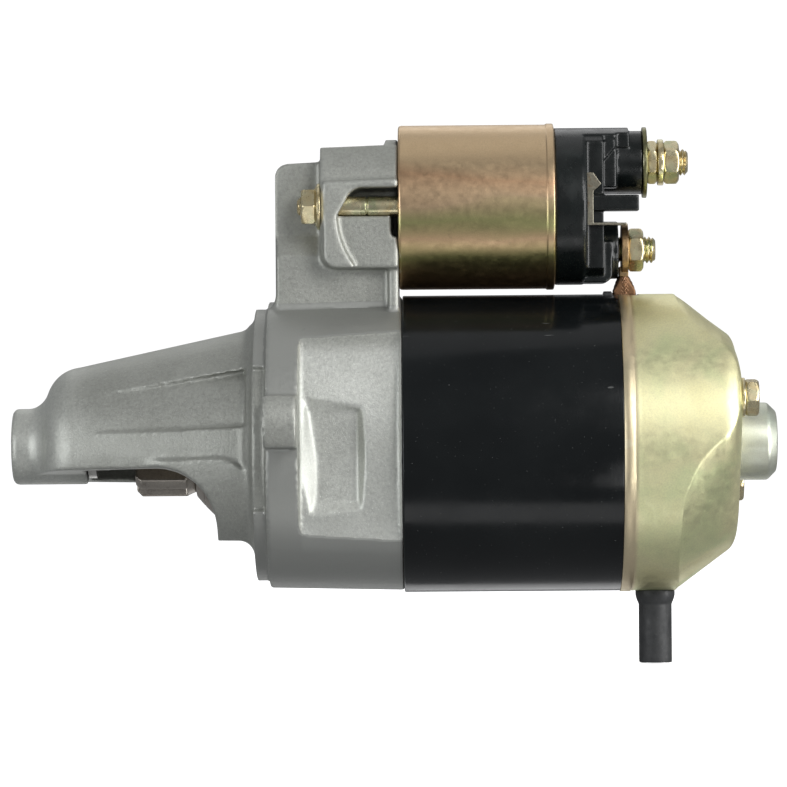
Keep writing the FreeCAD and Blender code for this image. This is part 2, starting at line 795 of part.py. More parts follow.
def clutch_sleeve():
    """The splined tube that slides on the shaft, with the groove for the shift fork."""
    start = BARREL_REAR - 2.0
    groove_front = GROOVE_X - GROOVE_HALF
    groove_rear = GROOVE_X + GROOVE_HALF
    inner = SLEEVE_R - 0.5
    tube = ring(SLEEVE_R, SPLINE_R + 0.08, start, SLEEVE_REAR)
    front_collar = ring(COLLAR_R, inner, groove_front - COLLAR_WIDTH, groove_front)
    rear_collar = ring(COLLAR_R, inner, groove_rear, groove_rear + COLLAR_WIDTH)
    keys = ridges(SPLINE_CORE_R + 0.08, SLEEVE_R - 1.0, SPLINE_WIDTH - 0.5, BARREL_REAR, SLEEVE_REAR,
                  SPLINE_COUNT, 180.0 / SPLINE_COUNT)
    return fused([tube, front_collar, rear_collar] + keys)


# ---- shift lever ----
def shift_lever():
    """The fork lever, drawn upright through its pivot and then leaned to its rest angle."""
    half = LEVER_THICK / 2
    finger_z = PIVOT_Z + LEVER_UP
    shoe_z = PIVOT_Z - LEVER_DOWN
    blade = block(PIVOT_X - half, PIVOT_X + half, -4.0, 4.0, 22.0, finger_z)
    eye = Part.makeCylinder(6.5, 16.0, Vector(PIVOT_X, -8.0, PIVOT_Z), Y_AXIS)
    finger = Part.makeCylinder(SHOE_R, 8.0, Vector(PIVOT_X, -4.0, finger_z), Y_AXIS)
    bar = block(PIVOT_X - half, PIVOT_X + half, -15.5, 15.5, 20.4, 26.2)
    arm = block(PIVOT_X - half, PIVOT_X + half, -15.5, -11.2, shoe_z, 24.0)
    shoe = Part.makeCylinder(SHOE_R, 4.5, Vector(PIVOT_X, -15.5, shoe_z), Y_AXIS)
    lever = fused([blade, eye, finger, bar] + both_sides(arm) + both_sides(shoe))
    pin_hole = Part.makeCylinder(PIVOT_R + RUNNING, 20.0, Vector(PIVOT_X, -10.0, PIVOT_Z), Y_AXIS)
    lever = lever.cut(pin_hole)
    lever.rotate(Vector(PIVOT_X, 0, PIVOT_Z), Y_AXIS, LEVER_REST)
    return lever


# ---- solenoid ----
def solenoid_case():
    shell = ring(SOLENOID_R, SOLENOID_R - SOLENOID_WALL, SOLENOID_FRONT, SOLENOID_REAR, 0, SOLENOID_Z)
    front = ring(SOLENOID_R - SOLENOID_WALL, 10.4, SOLENOID_FRONT + 0.8, SOLENOID_FRONT + 2.4, 0, SOLENOID_Z)
    rim = ring(SOLENOID_R + 0.3, SOLENOID_R - 1, 83.2, SOLENOID_REAR, 0, SOLENOID_Z)
    case = fused([shell, front, rim])
    for y in (-STUD_Y, STUD_Y):
        case = case.cut(rod(3.0, SOLENOID_FRONT - 1, SOLENOID_FRONT + 3, y, STUD_Z))
    return case


def solenoid_gasket():
    gasket = ring(SOLENOID_R - SOLENOID_WALL, 10.6, SOLENOID_FRONT, SOLENOID_FRONT + 0.8, 0, SOLENOID_Z)
    for y in (-STUD_Y, STUD_Y):
        gasket = gasket.cut(rod(3.0, SOLENOID_FRONT - 1, SOLENOID_FRONT + 3, y, STUD_Z))
    return gasket


def solenoid_bobbin():
    tube = ring(10.4, PLUNGER_R + RUNNING, 42.6, 82.0, 0, SOLENOID_Z)
    front = ring(22.6, 10.0, 42.6, 43.8, 0, SOLENOID_Z)
    rear = ring(22.6, 10.0, 80.8, 82.0, 0, SOLENOID_Z)
    return fused([tube, front, rear])


def solenoid_coil():
    return ring(22.2, 10.4, 43.8, 80.8, 0, SOLENOID_Z)


def solenoid_core():
    body = fused([
        rod(PLUNGER_R, 68.0, 82.1, 0, SOLENOID_Z),
        rod(SOLENOID_R - SOLENOID_WALL, 82.0, SOLENOID_REAR - 0.2, 0, SOLENOID_Z),
    ])
    return body.cut(rod(2.08, 60.0, 90.0, 0, SOLENOID_Z))


def solenoid_studs():
    studs = []
    for y in (-STUD_Y, STUD_Y):
        stud = fused([rod(3.0, 10.0, 29.4, y, STUD_Z), rod(2.7, 29.4, 30.2, y, STUD_Z),
                      rod(3.0, 30.2, 42.5, y, STUD_Z), cone(2.4, 3.0, 9.2, 10.0, y, STUD_Z)])
        studs.append(stud)
    return group(studs)


def solenoid_nuts():
    nuts = []
    for y in (-STUD_Y, STUD_Y):
        flange = fused([rod(6.9, 15.2, BOX_FRONT, y, STUD_Z), cone(5.2, 6.9, 14.3, 15.2, y, STUD_Z)])
        nut = fused([hexagon(10.0, 10.4, 15.0, y, STUD_Z), flange])
        nuts.append(nut.cut(rod(3.0, 5.0, 20.0, y, STUD_Z)))
    return group(nuts)


def plunger():
    body = fused([
        rod(PLUNGER_R, PLUNGER_FRONT, PLUNGER_REAR, 0, SOLENOID_Z),
        rod(5.0, 22.6, PLUNGER_FRONT + 1, 0, SOLENOID_Z),
    ])
    body = body.cut(rod(6.6, 50.0, PLUNGER_REAR + 1, 0, SOLENOID_Z))
    return body.cut(plunger_hook())


def plunger_hook():
    """The frame at the plunger's front end that holds the lever's finger."""
    front = FINGER_X - GROOVE_HALF - 2.5
    rear = FINGER_X + GROOVE_HALF + 2.5
    outer = block(front, rear, -6.5, 6.5, 65.5, 76.0)
    pocket = block(FINGER_X - GROOVE_HALF, FINGER_X + GROOVE_HALF, -4.5, 4.5, 60.0, 80.0)
    return outer.cut(pocket)


def plunger_spring():
    return lifted(coil_spring(5.4, 0.6, 50.05, 67.95, 6.5), SOLENOID_Z)


def contact_rod():
    return fused([rod(2.0, 55.5, 94.6, 0, SOLENOID_Z), rod(3.6, 88.6, 89.5, 0, SOLENOID_Z)])


def contact_disc():
    return ring(12.6, 2.0, 89.5, 91.5, 0, SOLENOID_Z)


def contact_spring():
    return lifted(coil_spring(3.2, 0.45, 91.55, 97.95, 4.5), SOLENOID_Z)


def solenoid_cap():
    """The black moulded end cap with its two terminal towers and the trigger terminal's post."""
    axis = SOLENOID_Z
    base = fused([
        rod(CAP_R, SOLENOID_REAR, CAP_STEP - 1.0, 0, axis),
        cone(CAP_R, CAP_R - 1.0, CAP_STEP - 1.0, CAP_STEP, 0, axis),
    ])
    core = block(CAP_STEP - 1, 100.0, -13.0, 13.0, axis - 24, axis + 24)
    core = core.common(rod(CAP_R - 0.6, CAP_STEP - 1, 100.0, 0, axis))
    upper = block(CAP_STEP - 1, 104.0, -10.5, 10.5, 76.0, axis + 24)
    upper = upper.common(rod(CAP_R, CAP_STEP - 1, 104.0, 0, axis))
    crown = block(CAP_STEP - 1, 107.8, -9.6, 9.6, 88.0, axis + 24)
    crown = crown.common(rod(CAP_R, CAP_STEP - 1, 107.8, 0, axis))
    gusset = side_prism((CAP_STEP - 1, 88.0), [
        (103.6, 90.5),
        (103.6, 88.0),
        (98.5, 82.0),
        (CAP_STEP - 1, 80.0),
    ], -12.0, 12.0)
    battery_tower = rod(9.5, CAP_STEP, 112.0, 0, BATTERY_Z)
    motor_tower = rod(8.6, CAP_STEP - 1, 104.6, 0, MOTOR_Z)
    chin = side_prism((CAP_STEP - 1, 60.0), [
        (102.6, 60.0),
        (102.6, 50.4),
        ((101.7, 48.4), (99.6, 47.7)),
        (CAP_STEP - 1, 47.7),
    ], -9.0, 9.0)
    post = block(CAP_STEP - 1, 110.5, -14.5, -5.0, SPADE_Z - 2.3, SPADE_Z + 2.3)
    cap = fused([base, core, upper, crown, gusset, battery_tower, motor_tower, chin, post])
    cuts = [
        rod(19.4, SOLENOID_REAR - 1, 93.8, 0, axis),
        rod(19.4, 93.0, 98.0, 0, axis).common(block(93.0, 98.0, -9.0, 9.0, 40.0, 100.0)),
        rod(TERMINAL_R, 90.0, 120.0, 0, BATTERY_Z),
        rod(TERMINAL_R, 90.0, 120.0, 0, MOTOR_Z),
        block(100.0, 111.0, -12.6, -6.9, SPADE_Z - 1.3, SPADE_Z + 1.3),
    ]
    return carved(cap, cuts).removeSplitter()


def contact_stud(z, length_end):
    """A terminal stud with its broad contact head inside the cap."""
    head = rod(5.4, 93.6, 96.4, 0, z)
    return fused([head, rod(TERMINAL_R, 96.4, length_end - 0.8, 0, z),
                  cone(TERMINAL_R, TERMINAL_R - 0.8, length_end - 0.8, length_end, 0, z)])


def battery_stud():
    return contact_stud(BATTERY_Z, 125.7)


def motor_stud():
    return contact_stud(MOTOR_Z, 115.8)


def battery_disc():
    return ring(10.6, TERMINAL_R, 112.0, 113.3, 0, BATTERY_Z)


def terminal_nuts():
    nuts = [
        hexagon(11.2, 113.3, 116.6, 0, BATTERY_Z, 30.0),
        hexagon(11.2, 118.4, 123.0, 0, BATTERY_Z, 30.0),
        hexagon(11.2, 107.6, 112.2, 0, MOTOR_Z, 30.0),
    ]
    bores = [rod(TERMINAL_R, 100.0, 130.0, 0, BATTERY_Z), rod(TERMINAL_R, 100.0, 130.0, 0, MOTOR_Z)]
    return group([carved(nut, bores) for nut in nuts])


def terminal_washers():
    return ring(6.9, TERMINAL_R, 116.6, 118.4, 0, BATTERY_Z)


def lead_eyelet():
    """The flat ring terminal crimped to the motor lead."""
    eye = rod(8.0, 105.6, 107.6, 0, MOTOR_Z)
    barrel = block(104.9, 107.6, -4.4, 4.4, LEAD_TOP, MOTOR_Z - 5)
    return fused([eye, barrel]).cut(rod(TERMINAL_R, 100.0, 110.0, 0, MOTOR_Z))


def terminal_tab():
    """The bent strip from the coil to the motor terminal."""
    flag = side_prism((CAP_STEP, 80.2), [
        (96.9, 80.2),
        (99.3, 76.8),
        (96.9, 74.6),
        (96.9, 64.6),
        (CAP_STEP, 64.6),
    ], -15.6, -14.6)
    strip = block(CAP_STEP, 106.7, -15.6, -13.1, 64.6, 65.3)
    tongue = block(100.1, 106.7, -13.2, -9.4, 64.6, 65.3)
    return fused([flag, strip, tongue])


def spade_terminal():
    return block(100.0, 110.2, -12.6, -6.9, SPADE_Z - 0.4, SPADE_Z + 0.4)


def motor_lead():
    """The braided copper lead, from the eyelet through the grommet to the brush gear."""
    sections = [
        (LEAD_TOP, 106.2, 2.6, 8.0),
        (46.8, 106.4, 5.2, 8.4),
        (44.6, 106.4, 6.8, 8.4),
        (42.0, 106.0, 6.0, 8.0),
        (37.0, 105.6, 4.0, 7.0),
    ]
    wires = []
    for z, x, wide, deep in sections:
        corners = [(-wide, -deep), (wide, -deep), (wide, deep), (-wide, deep), (-wide, -deep)]
        wires.append(Part.makePolygon([Vector(x + a / 2, b / 2, z) for a, b in corners]))
    return Part.makeLoft(wires, True, False)


def lead_grommet():
    """The rubber block round the lead, flush with the cover but for a low lug in front."""
    flush = block(100.2, 110.6, -6.5, 6.5, 38.6, 60.0).common(rod(YOKE_R, 90.0, 120.0))
    lug = block(100.2, 102.6, -6.5, 6.5, 38.6, 60.0).common(rod(YOKE_R + 0.9, 90.0, 120.0))
    hole = block(102.6, 110.2, -5.0, 5.0, 30.0, 60.0)
    return fused([flush, lug]).cut(hole)


NODES = {
    "drive_housing": drive_housing,
    "nose_bush": nose_bush,
    "pivot_pin": pivot_pin,
    "yoke": yoke,
    "field_magnets": field_magnets,
    "magnet_clips": magnet_clips,
    "rear_cover": rear_cover,
    "rear_bush": rear_bush,
    "bearing_cap": bearing_cap,
    "through_bolts": through_bolts,
    "through_bolt_washers": through_bolt_washers,
    "drain_tube": drain_tube,
    "brush_plate": brush_plate,
    "brush_plate_screws": brush_plate_screws,
    "brush_holders": brush_holders,
    "brush_springs": brush_springs,
    "armature_shaft": armature_shaft,
    "armature_core": armature_core,
    "armature_windings": armature_windings,
    "commutator": commutator,
    "armature_shims": armature_shims,
    "end_clip": end_clip,
    "stop_collar": stop_collar,
    "pinion": pinion,
    "clutch_barrel": clutch_barrel,
    "clutch_cover": clutch_cover,
    "clutch_rollers": clutch_rollers,
    "clutch_sleeve": clutch_sleeve,
    "shift_lever": shift_lever,
    "solenoid_case": solenoid_case,
    "solenoid_gasket": solenoid_gasket,
    "solenoid_bobbin": solenoid_bobbin,
    "solenoid_coil": solenoid_coil,
    "solenoid_core": solenoid_core,
    "solenoid_studs": solenoid_studs,
    "solenoid_nuts": solenoid_nuts,
    "plunger": plunger,
    "plunger_hook": plunger_hook,
    "plunger_spring": plunger_spring,
    "contact_rod": contact_rod,
    "contact_disc": contact_disc,
    "contact_spring": contact_spring,
    "solenoid_cap": solenoid_cap,
    "battery_stud": battery_stud,
    "motor_stud": motor_stud,
    "battery_disc": battery_disc,
    "terminal_nuts": terminal_nuts,
    "terminal_washers": terminal_washers,
    "lead_eyelet": lead_eyelet,
    "terminal_tab": terminal_tab,
    "spade_terminal": spade_terminal,
    "motor_lead": motor_lead,
    "lead_grommet": lead_grommet,
}


def main():
    os.makedirs("parts", exist_ok=True)
    shapes = {name: make() for name, make in NODES.items()}
    for number in range(4):
        shapes[f"brush_{number + 1}"] = brush(number)
    for name, shape in shapes.items():
        if not shape.isValid():
            print("not valid:", name)
        print(f"{name}: {len(shape.Solids)} solid(s), {shape.Volume / 1000:.2f} cm3")
        shape.exportStep(f"parts/{name}.step")


main()
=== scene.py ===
import json
import math
import random

import bmesh
import bpy
from mathutils import Matrix, Vector

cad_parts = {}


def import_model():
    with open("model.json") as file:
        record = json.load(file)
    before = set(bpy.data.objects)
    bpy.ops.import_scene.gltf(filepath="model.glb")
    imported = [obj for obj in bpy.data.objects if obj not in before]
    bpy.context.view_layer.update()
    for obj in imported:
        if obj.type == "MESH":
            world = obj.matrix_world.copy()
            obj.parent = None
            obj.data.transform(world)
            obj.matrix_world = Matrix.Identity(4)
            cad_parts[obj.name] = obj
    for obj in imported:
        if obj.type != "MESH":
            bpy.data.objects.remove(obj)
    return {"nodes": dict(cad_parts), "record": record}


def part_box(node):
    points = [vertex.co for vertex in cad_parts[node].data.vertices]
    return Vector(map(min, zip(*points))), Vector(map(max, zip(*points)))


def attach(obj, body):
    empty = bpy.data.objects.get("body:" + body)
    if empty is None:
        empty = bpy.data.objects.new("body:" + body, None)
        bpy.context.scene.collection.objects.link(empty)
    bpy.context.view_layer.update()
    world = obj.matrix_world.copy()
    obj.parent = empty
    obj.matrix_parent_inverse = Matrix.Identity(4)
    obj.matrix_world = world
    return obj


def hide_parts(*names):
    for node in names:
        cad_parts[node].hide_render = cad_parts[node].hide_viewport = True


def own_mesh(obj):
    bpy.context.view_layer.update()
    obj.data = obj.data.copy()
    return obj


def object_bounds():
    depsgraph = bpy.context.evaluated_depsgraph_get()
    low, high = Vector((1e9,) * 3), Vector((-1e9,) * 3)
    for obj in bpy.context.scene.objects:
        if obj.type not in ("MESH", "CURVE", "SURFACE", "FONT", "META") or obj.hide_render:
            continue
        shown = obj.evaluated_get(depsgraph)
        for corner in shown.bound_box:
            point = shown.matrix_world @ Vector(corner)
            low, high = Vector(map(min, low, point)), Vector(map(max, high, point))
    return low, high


# A pre-engaged starter motor. Shapes are drawn in millimetres in the frame's own axes: X along the
# motor axis towards the rear cover, Z up towards the solenoid.

MM = 0.001

YOKE_R = 44.4
YOKE_WALL = 4.0
YOKE_FRONT = 40.0
YOKE_REAR = 104.4
CUP_R = 42.8
CUP_TAPER = 0.9 / 39.5
REGISTER_R = 40.65
SOLENOID_Z = 70.8
SOLENOID_R = 24.6
SOLENOID_WALL = 1.8
BATTERY_Z = 83.8
MOTOR_Z = 57.6
STUD_Y = 19.0
STUD_Z = 70.5
RIDGE_TURN = 68.3
BOLT_CIRCLE_R = 35.6
BOLT_R = 2.5
BOLT_HEAD_FLATS = 10.0
BOLT_WASHER = 1.0
PLATE_SCREW_Y = 7.8
PLATE_SCREW_Z = 16.0
PLATEAU = 139.0
COVER_LIP_END = 109.0
COVER_WALL = 1.8
CONE_START = 120.7
CONE_SLOPE = 0.741
CAP_R = 11.6
CAP_END = 151.5
CAP_WALL = 1.2
DRAIN_X = 115.0
TERMINAL_FLATS = 11.2
TERMINAL_R = 4.0
TERMINAL_PITCH = 1.25
SOLENOID_STUD_R = 3.0
SOLENOID_STUD_PITCH = 1.0

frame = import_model()
cad_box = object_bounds()
nodes = frame["nodes"]
body_of_node = {}
for body_name, members in frame["record"]["behaviour"]["bodies"].items():
    for member in members:
        body_of_node[member] = body_name
slot_of_node = {part["node"]: part["material_slot"] for part in frame["record"]["subparts"]}


# ---- shapes: a shape is a list of points and a list of faces ----
def combined(*shapes):
    """Several shapes as one."""
    points = []
    faces = []
    for shape_points, shape_faces in shapes:
        base = len(points)
        points += shape_points
        faces += [[base + index for index in face] for face in shape_faces]
    return points, faces


def box_shape(x0, x1, y0, y1, z0, z1):
    points = [(x, y, z) for x in (x0, x1) for y in (y0, y1) for z in (z0, z1)]
    faces = [[0, 1, 3, 2], [4, 6, 7, 5], [0, 4, 5, 1], [2, 3, 7, 6], [0, 2, 6, 4], [1, 5, 7, 3]]
    return points, faces


def rounded(corners, steps=5):
    """The closed outline through corners (x, r, fillet), with each corner rounded by its fillet."""
    outline = []
    count = len(corners)
    for index, (x, r, fillet) in enumerate(corners):
        here = Vector((x, r))
        if fillet == 0:
            outline.append((x, r))
            continue
        before = (Vector(corners[index - 1][:2]) - here).normalized()
        after = (Vector(corners[(index + 1) % count][:2]) - here).normalized()
        reach = fillet / math.tan(before.angle(after) / 2)
        start = here + before * reach
        end = here + after * reach
        for step in range(steps + 1):
            t = step / steps
            point = start * (1 - t) ** 2 + here * 2 * t * (1 - t) + end * t ** 2
            outline.append((point.x, point.y))
    return outline


def revolved(loops, segments=96, y=0.0, z=0.0):
    """The closed surface through loops about an axis along X. A loop is (x, radius) or a function
    of the angle that gives them, and a radius of 0 is a point on the axis."""
    points = []
    faces = []
    rows = []
    for loop in loops:
        if not callable(loop) and loop[1] < 1e-6:
            rows.append([len(points)])
            points.append((loop[0], y, z))
            continue
        rows.append(list(range(len(points), len(points) + segments)))
        for step in range(segments):
            angle = 2 * math.pi * step / segments
            x, r = loop(angle) if callable(loop) else loop
            points.append((x, y + r * math.sin(angle), z + r * math.cos(angle)))
    for row, after in zip(rows, rows[1:] + rows[:1]):
        for step in range(segments):
            beside = (step + 1) % segments
            face = [row[step % len(row)], row[beside % len(row)],
                    after[beside % len(after)], after[step % len(after)]]
            face = list(dict.fromkeys(face))
            if len(face) > 2:
                faces.append(face)
    return points, faces


def turned_x(shape, degrees):
    """The shape turned about the motor axis."""
    turn = Matrix.Rotation(math.radians(degrees), 3, "X")
    points, faces = shape
    return [tuple(turn @ Vector(point)) for point in points], faces


def two_round(shape):
    """The shape placed where the cover's ridge lies, and its opposite."""
    return combined(turned_x(shape, RIDGE_TURN), turned_x(shape, RIDGE_TURN + 180))


def strand(path, radius, sides=8):
    """A round wire along the points of a path."""
    points = []
    faces = []
    count = len(path)
    side = Vector((0, 1, 0))
    for index in range(count):
        ahead = Vector(path[min(index + 1, count - 1)]) - Vector(path[max(index - 1, 0)])
        ahead.normalize()
        side = (side - ahead * side.dot(ahead)).normalized()
        across = ahead.cross(side)
        for step in range(sides):
            angle = 2 * math.pi * step / sides
            offset = side * math.cos(angle) * radius + across * math.sin(angle) * radius
            points.append(tuple(Vector(path[index]) + offset))
    for index in range(count - 1):
        for step in range(sides):
            beside = (step + 1) % sides
            faces.append([index * sides + step, index * sides + beside,
                          (index + 1) * sides + beside, (index + 1) * sides + step])
    faces.append(list(range(sides))[::-1])
    faces.append([(count - 1) * sides + step for step in range(sides)])
    return points, faces


# ---- fasteners ----
def soft_least(a, b, sharpness=5.0):
    """The smaller of two lengths, blended where they are close."""
    least = min(a, b)
    blend = math.exp(-sharpness * (a - least)) + math.exp(-sharpness * (b - least))
    return least - math.log(blend) / sharpness


def hex_radius(angle, across_flats):
    """The radius of a hexagon at that angle from the middle of a flat."""
    sector = math.radians(60)
    off_flat = (angle + sector / 2) % sector - sector / 2
    return across_flats / 2 / math.cos(off_flat)


def hex_loops(across_flats, start, end, turn=0.0):
    """The outer loops of a hexagon, turned by that many degrees, with its end corners turned off."""
    loops = []
    for inset in (0.0, 0.08, 0.2, 0.4, 0.7, 1.1):
        loops.append((start + inset, inset))
    for inset in (1.1, 0.7, 0.4, 0.2, 0.08, 0.0):
        loops.append((end - inset, inset))

    def outer(x, inset):
        cone_r = across_flats / 2 - 0.15 + 1.75 * inset
        return lambda angle: (x, soft_least(hex_radius(angle + math.radians(turn), across_flats), cone_r))

    return [outer(x, inset) for x, inset in loops]


def hex_nut(across_flats, start, end, bore, y=0.0, z=0.0, turn=0.0):
    """A nut with a chamfered bore of that radius."""
    inside = bore + 0.02
    loops = [(start + 0.7, inside), (start, bore + 0.55)]
    loops += hex_loops(across_flats, start, end, turn)
    loops += [(end, bore + 0.55), (end - 0.7, inside)]
    return revolved(loops, 96, y, z)


def hex_head(across_flats, start, end, y=0.0, z=0.0):
    """A bolt head with a shallow dish in its top."""
    loops = [(start, 0.0)] + hex_loops(across_flats, start, end)
    loops += [(end, across_flats * 0.38), (end - 0.35, across_flats * 0.33), (end - 0.45, 0.0)]
    return revolved(loops, 96, y, z)


def washer(outer, inner, start, end, y=0.0, z=0.0, fillet=0.25):
    """A flat ring between two radii."""
    corners = [(start, inner, 0.1), (start, outer, fillet), (end, outer, fillet), (end, inner, 0.1)]
    return revolved(rounded(corners, 3), 72, y, z)


def threaded_rod(radius, pitch, plain_end, thread_start, tip, y=0.0, z=0.0):
    """A stud from its plain end to its chamfered tip; either end may be the greater X."""
    way = 1 if tip > plain_end else -1
    depth = 0.58 * pitch
    per_pitch = 10
    length = abs(tip - thread_start)
    count = int(length / pitch * per_pitch)

    def cut_radius(along, angle):
        turn = (along / pitch - angle / (2 * math.pi)) % 1.0
        flank = abs(turn - 0.5) * 2
        flank = min(max((flank - 0.1) / 0.75, 0.0), 1.0)
        run_in = min(along / pitch, 1.0)
        chamfer = radius - 1.1 + (length - along) * 1.1
        return min(radius - depth * (1 - flank) * run_in, max(chamfer, radius - 1.1))

    def station(along):
        x = thread_start + way * along
        return lambda angle: (x, cut_radius(along, angle))

    loops = [(plain_end, 0.0), (plain_end, radius), (thread_start, radius)]
    loops += [station(length * step / count) for step in range(1, count + 1)]
    loops += [(tip, radius - 1.3), (tip, 0.0)]
    return revolved(loops, 64, y, z)


# ---- objects ----
def mesh_object(name, mesh):
    """A new object in the scene for a mesh."""
    piece = bpy.data.objects.new(name, mesh)
    bpy.context.scene.collection.objects.link(piece)
    return piece


def shape_object(name, shape):
    """An object from a shape in millimetres."""
    points, faces = shape
    mesh = bpy.data.meshes.new(name)
    mesh.from_pydata([tuple(MM * c for c in point) for point in points], [], faces)
    work = bmesh.new()
    work.from_mesh(mesh)
    bmesh.ops.recalc_face_normals(work, faces=work.faces)
    work.to_mesh(mesh)
    work.free()
    return mesh_object(name, mesh)


def settle_modifiers(piece):
    """Applies the piece's modifiers to its mesh."""
    depsgraph = bpy.context.evaluated_depsgraph_get()
    mesh = bpy.data.meshes.new_from_object(piece.evaluated_get(depsgraph))
    piece.modifiers.clear()
    piece.data = mesh


def remeshed(name, node, voxel, passes, most_faces=190000, filling=None):
    """A copy of a CAD node with its edges softened: remeshed in voxels of that many millimetres.
    A filling is a shape that is added to it first."""
    mesh = nodes[node].data.copy()
    mesh.name = name
    mesh.materials.clear()
    mesh.transform(Matrix.Scale(1 / MM, 4))
    if filling is not None:
        work = bmesh.new()
        work.from_mesh(mesh)
        corners = [work.verts.new(point) for point in filling[0]]
        added = [work.faces.new([corners[index] for index in face]) for face in filling[1]]
        bmesh.ops.recalc_face_normals(work, faces=added)
        work.to_mesh(mesh)
        work.free()
    piece = mesh_object(name, mesh)
    remesh = piece.modifiers.new("remesh", "REMESH")
    remesh.mode = "VOXEL"
    remesh.voxel_size = voxel
    settle_modifiers(piece)
    smooth = piece.modifiers.new("smooth", "SMOOTH")
    smooth.factor = 0.5
    smooth.iterations = passes
    settle_modifiers(piece)
    triangles = sum(len(face.vertices) - 2 for face in piece.data.polygons)
    if triangles > most_faces:
        thin = piece.modifiers.new("thin", "DECIMATE")
        thin.ratio = most_faces / triangles
        settle_modifiers(piece)
    return piece


def finish_piece(piece, nodes_stood_for, paint, sharp=35.0, scaled=False):
    """Puts a piece into metres, paints it, and lets it ride where its CAD nodes ride."""
    mesh = piece.data
    if scaled:
        mesh.transform(Matrix.Scale(MM, 4))
    mesh.materials.clear()
    mesh.materials.append(paint)
    mesh.shade_smooth()
    mesh.set_sharp_from_angle(angle=math.radians(sharp))
    first = nodes_stood_for[0]
    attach(piece, body_of_node[first])
    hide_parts(*nodes_stood_for)


# ---- materials ----
class Paint:
    """A node material being put together, in the part's own coordinates in metres."""

    def __init__(self, name, metallic, roughness, **constants):
        self.material = bpy.data.materials.new(name)
        self.material.use_nodes = True
        self.tree = self.material.node_tree
        self.shader = self.tree.nodes["Principled BSDF"]
        self.shader.inputs["Metallic"].default_value = metallic
        self.shader.inputs["Roughness"].default_value = roughness
        for socket, value in constants.items():
            self.shader.inputs[socket.replace("_", " ")].default_value = value
        self.place = self.add("ShaderNodeTexCoord").outputs["Object"]

    def add(self, kind, inputs=None, **settings):
        node = self.tree.nodes.new(kind)
        for setting, value in settings.items():
            setattr(node, setting, value)
        for socket, value in (inputs or {}).items():
            self.put(value, node.inputs[socket])
        return node

    def put(self, value, socket):
        if isinstance(value, bpy.types.NodeSocket):
            self.tree.links.new(value, socket)
        else:
            socket.default_value = value

    def stretched(self, stretch, shift=(0.0, 0.0, 0.0)):
        """The place, scaled along each axis; a scale under 1 draws the pattern out that way."""
        return self.add("ShaderNodeMapping", {"Vector": self.place, "Scale": stretch,
                                              "Location": shift}).outputs["Vector"]

    def noise(self, size_mm, detail=3.0, rough=0.55, place=None, twist=0.0):
        """Soft noise, 0 to 1, whose blobs are about that many millimetres."""
        inputs = {"Vector": place or self.place, "Scale": 1000.0 / size_mm, "Detail": detail,
                  "Roughness": rough, "Distortion": twist}
        return self.add("ShaderNodeTexNoise", inputs).outputs["Fac"]

    def remap(self, value, low, high, to_low=0.0, to_high=1.0):
        inputs = {"Value": value, "From Min": low, "From Max": high,
                  "To Min": to_low, "To Max": to_high}
        return self.add("ShaderNodeMapRange", inputs).outputs["Result"]

    def step(self, value, low, high):
        """A smooth step, 0 below low and 1 above high."""
        node = self.add("ShaderNodeMapRange", {"Value": value, "From Min": low, "From Max": high},
                        interpolation_type="SMOOTHSTEP")
        return node.outputs["Result"]

    def math(self, operation, a, b=0.0):
        return self.add("ShaderNodeMath", {0: a, 1: b}, operation=operation).outputs[0]

    def ramp(self, value, stops):
        node = self.add("ShaderNodeValToRGB", {"Fac": value})
        elements = node.color_ramp.elements
        while len(elements) < len(stops):
            elements.new(0.5)
        for element, (position, colour) in zip(elements, stops):
            element.position = position
            element.color = (*colour, 1.0)
        return node.outputs["Color"]

    def mix(self, share, a, b, blend="MIX"):
        node = self.add("ShaderNodeMix", data_type="RGBA", blend_type=blend)
        self.put(share, node.inputs["Factor"])
        for socket, value in (("A", a), ("B", b)):
            plain = isinstance(value, tuple)
            self.put((*value, 1.0) if plain else value,
                     [i for i in node.inputs if i.name == socket and i.type == "RGBA"][0])
        return [o for o in node.outputs if o.type == "RGBA"][0]

    def axis(self, letter):
        return self.add("ShaderNodeSeparateXYZ", {0: self.place}).outputs[letter]

    def axis_radius(self, z_mm=0.0):
        """Distance from the axis along X at that height, in metres."""
        moved = self.stretched((0.0, 1.0, 1.0), (0.0, 0.0, -z_mm * MM))
        return self.add("ShaderNodeVectorMath", {0: moved}, operation="LENGTH").outputs["Value"]

    def edges(self, low=0.52, high=0.6):
        """1 on the part's convex edges, where the finish wears."""
        point = self.add("ShaderNodeNewGeometry").outputs["Pointiness"]
        return self.step(point, low, high)

    def colour(self, value):
        self.put(value, self.shader.inputs["Base Color"])

    def roughness(self, value):
        self.put(value, self.shader.inputs["Roughness"])

    def bump(self, height, depth_mm, strength=1.0, under=None):
        inputs = {"Height": height, "Distance": depth_mm * MM, "Strength": strength}
        if under is not None:
            inputs["Normal"] = under
        normal = self.add("ShaderNodeBump", inputs).outputs["Normal"]
        self.put(normal, self.shader.inputs["Normal"])
        return normal


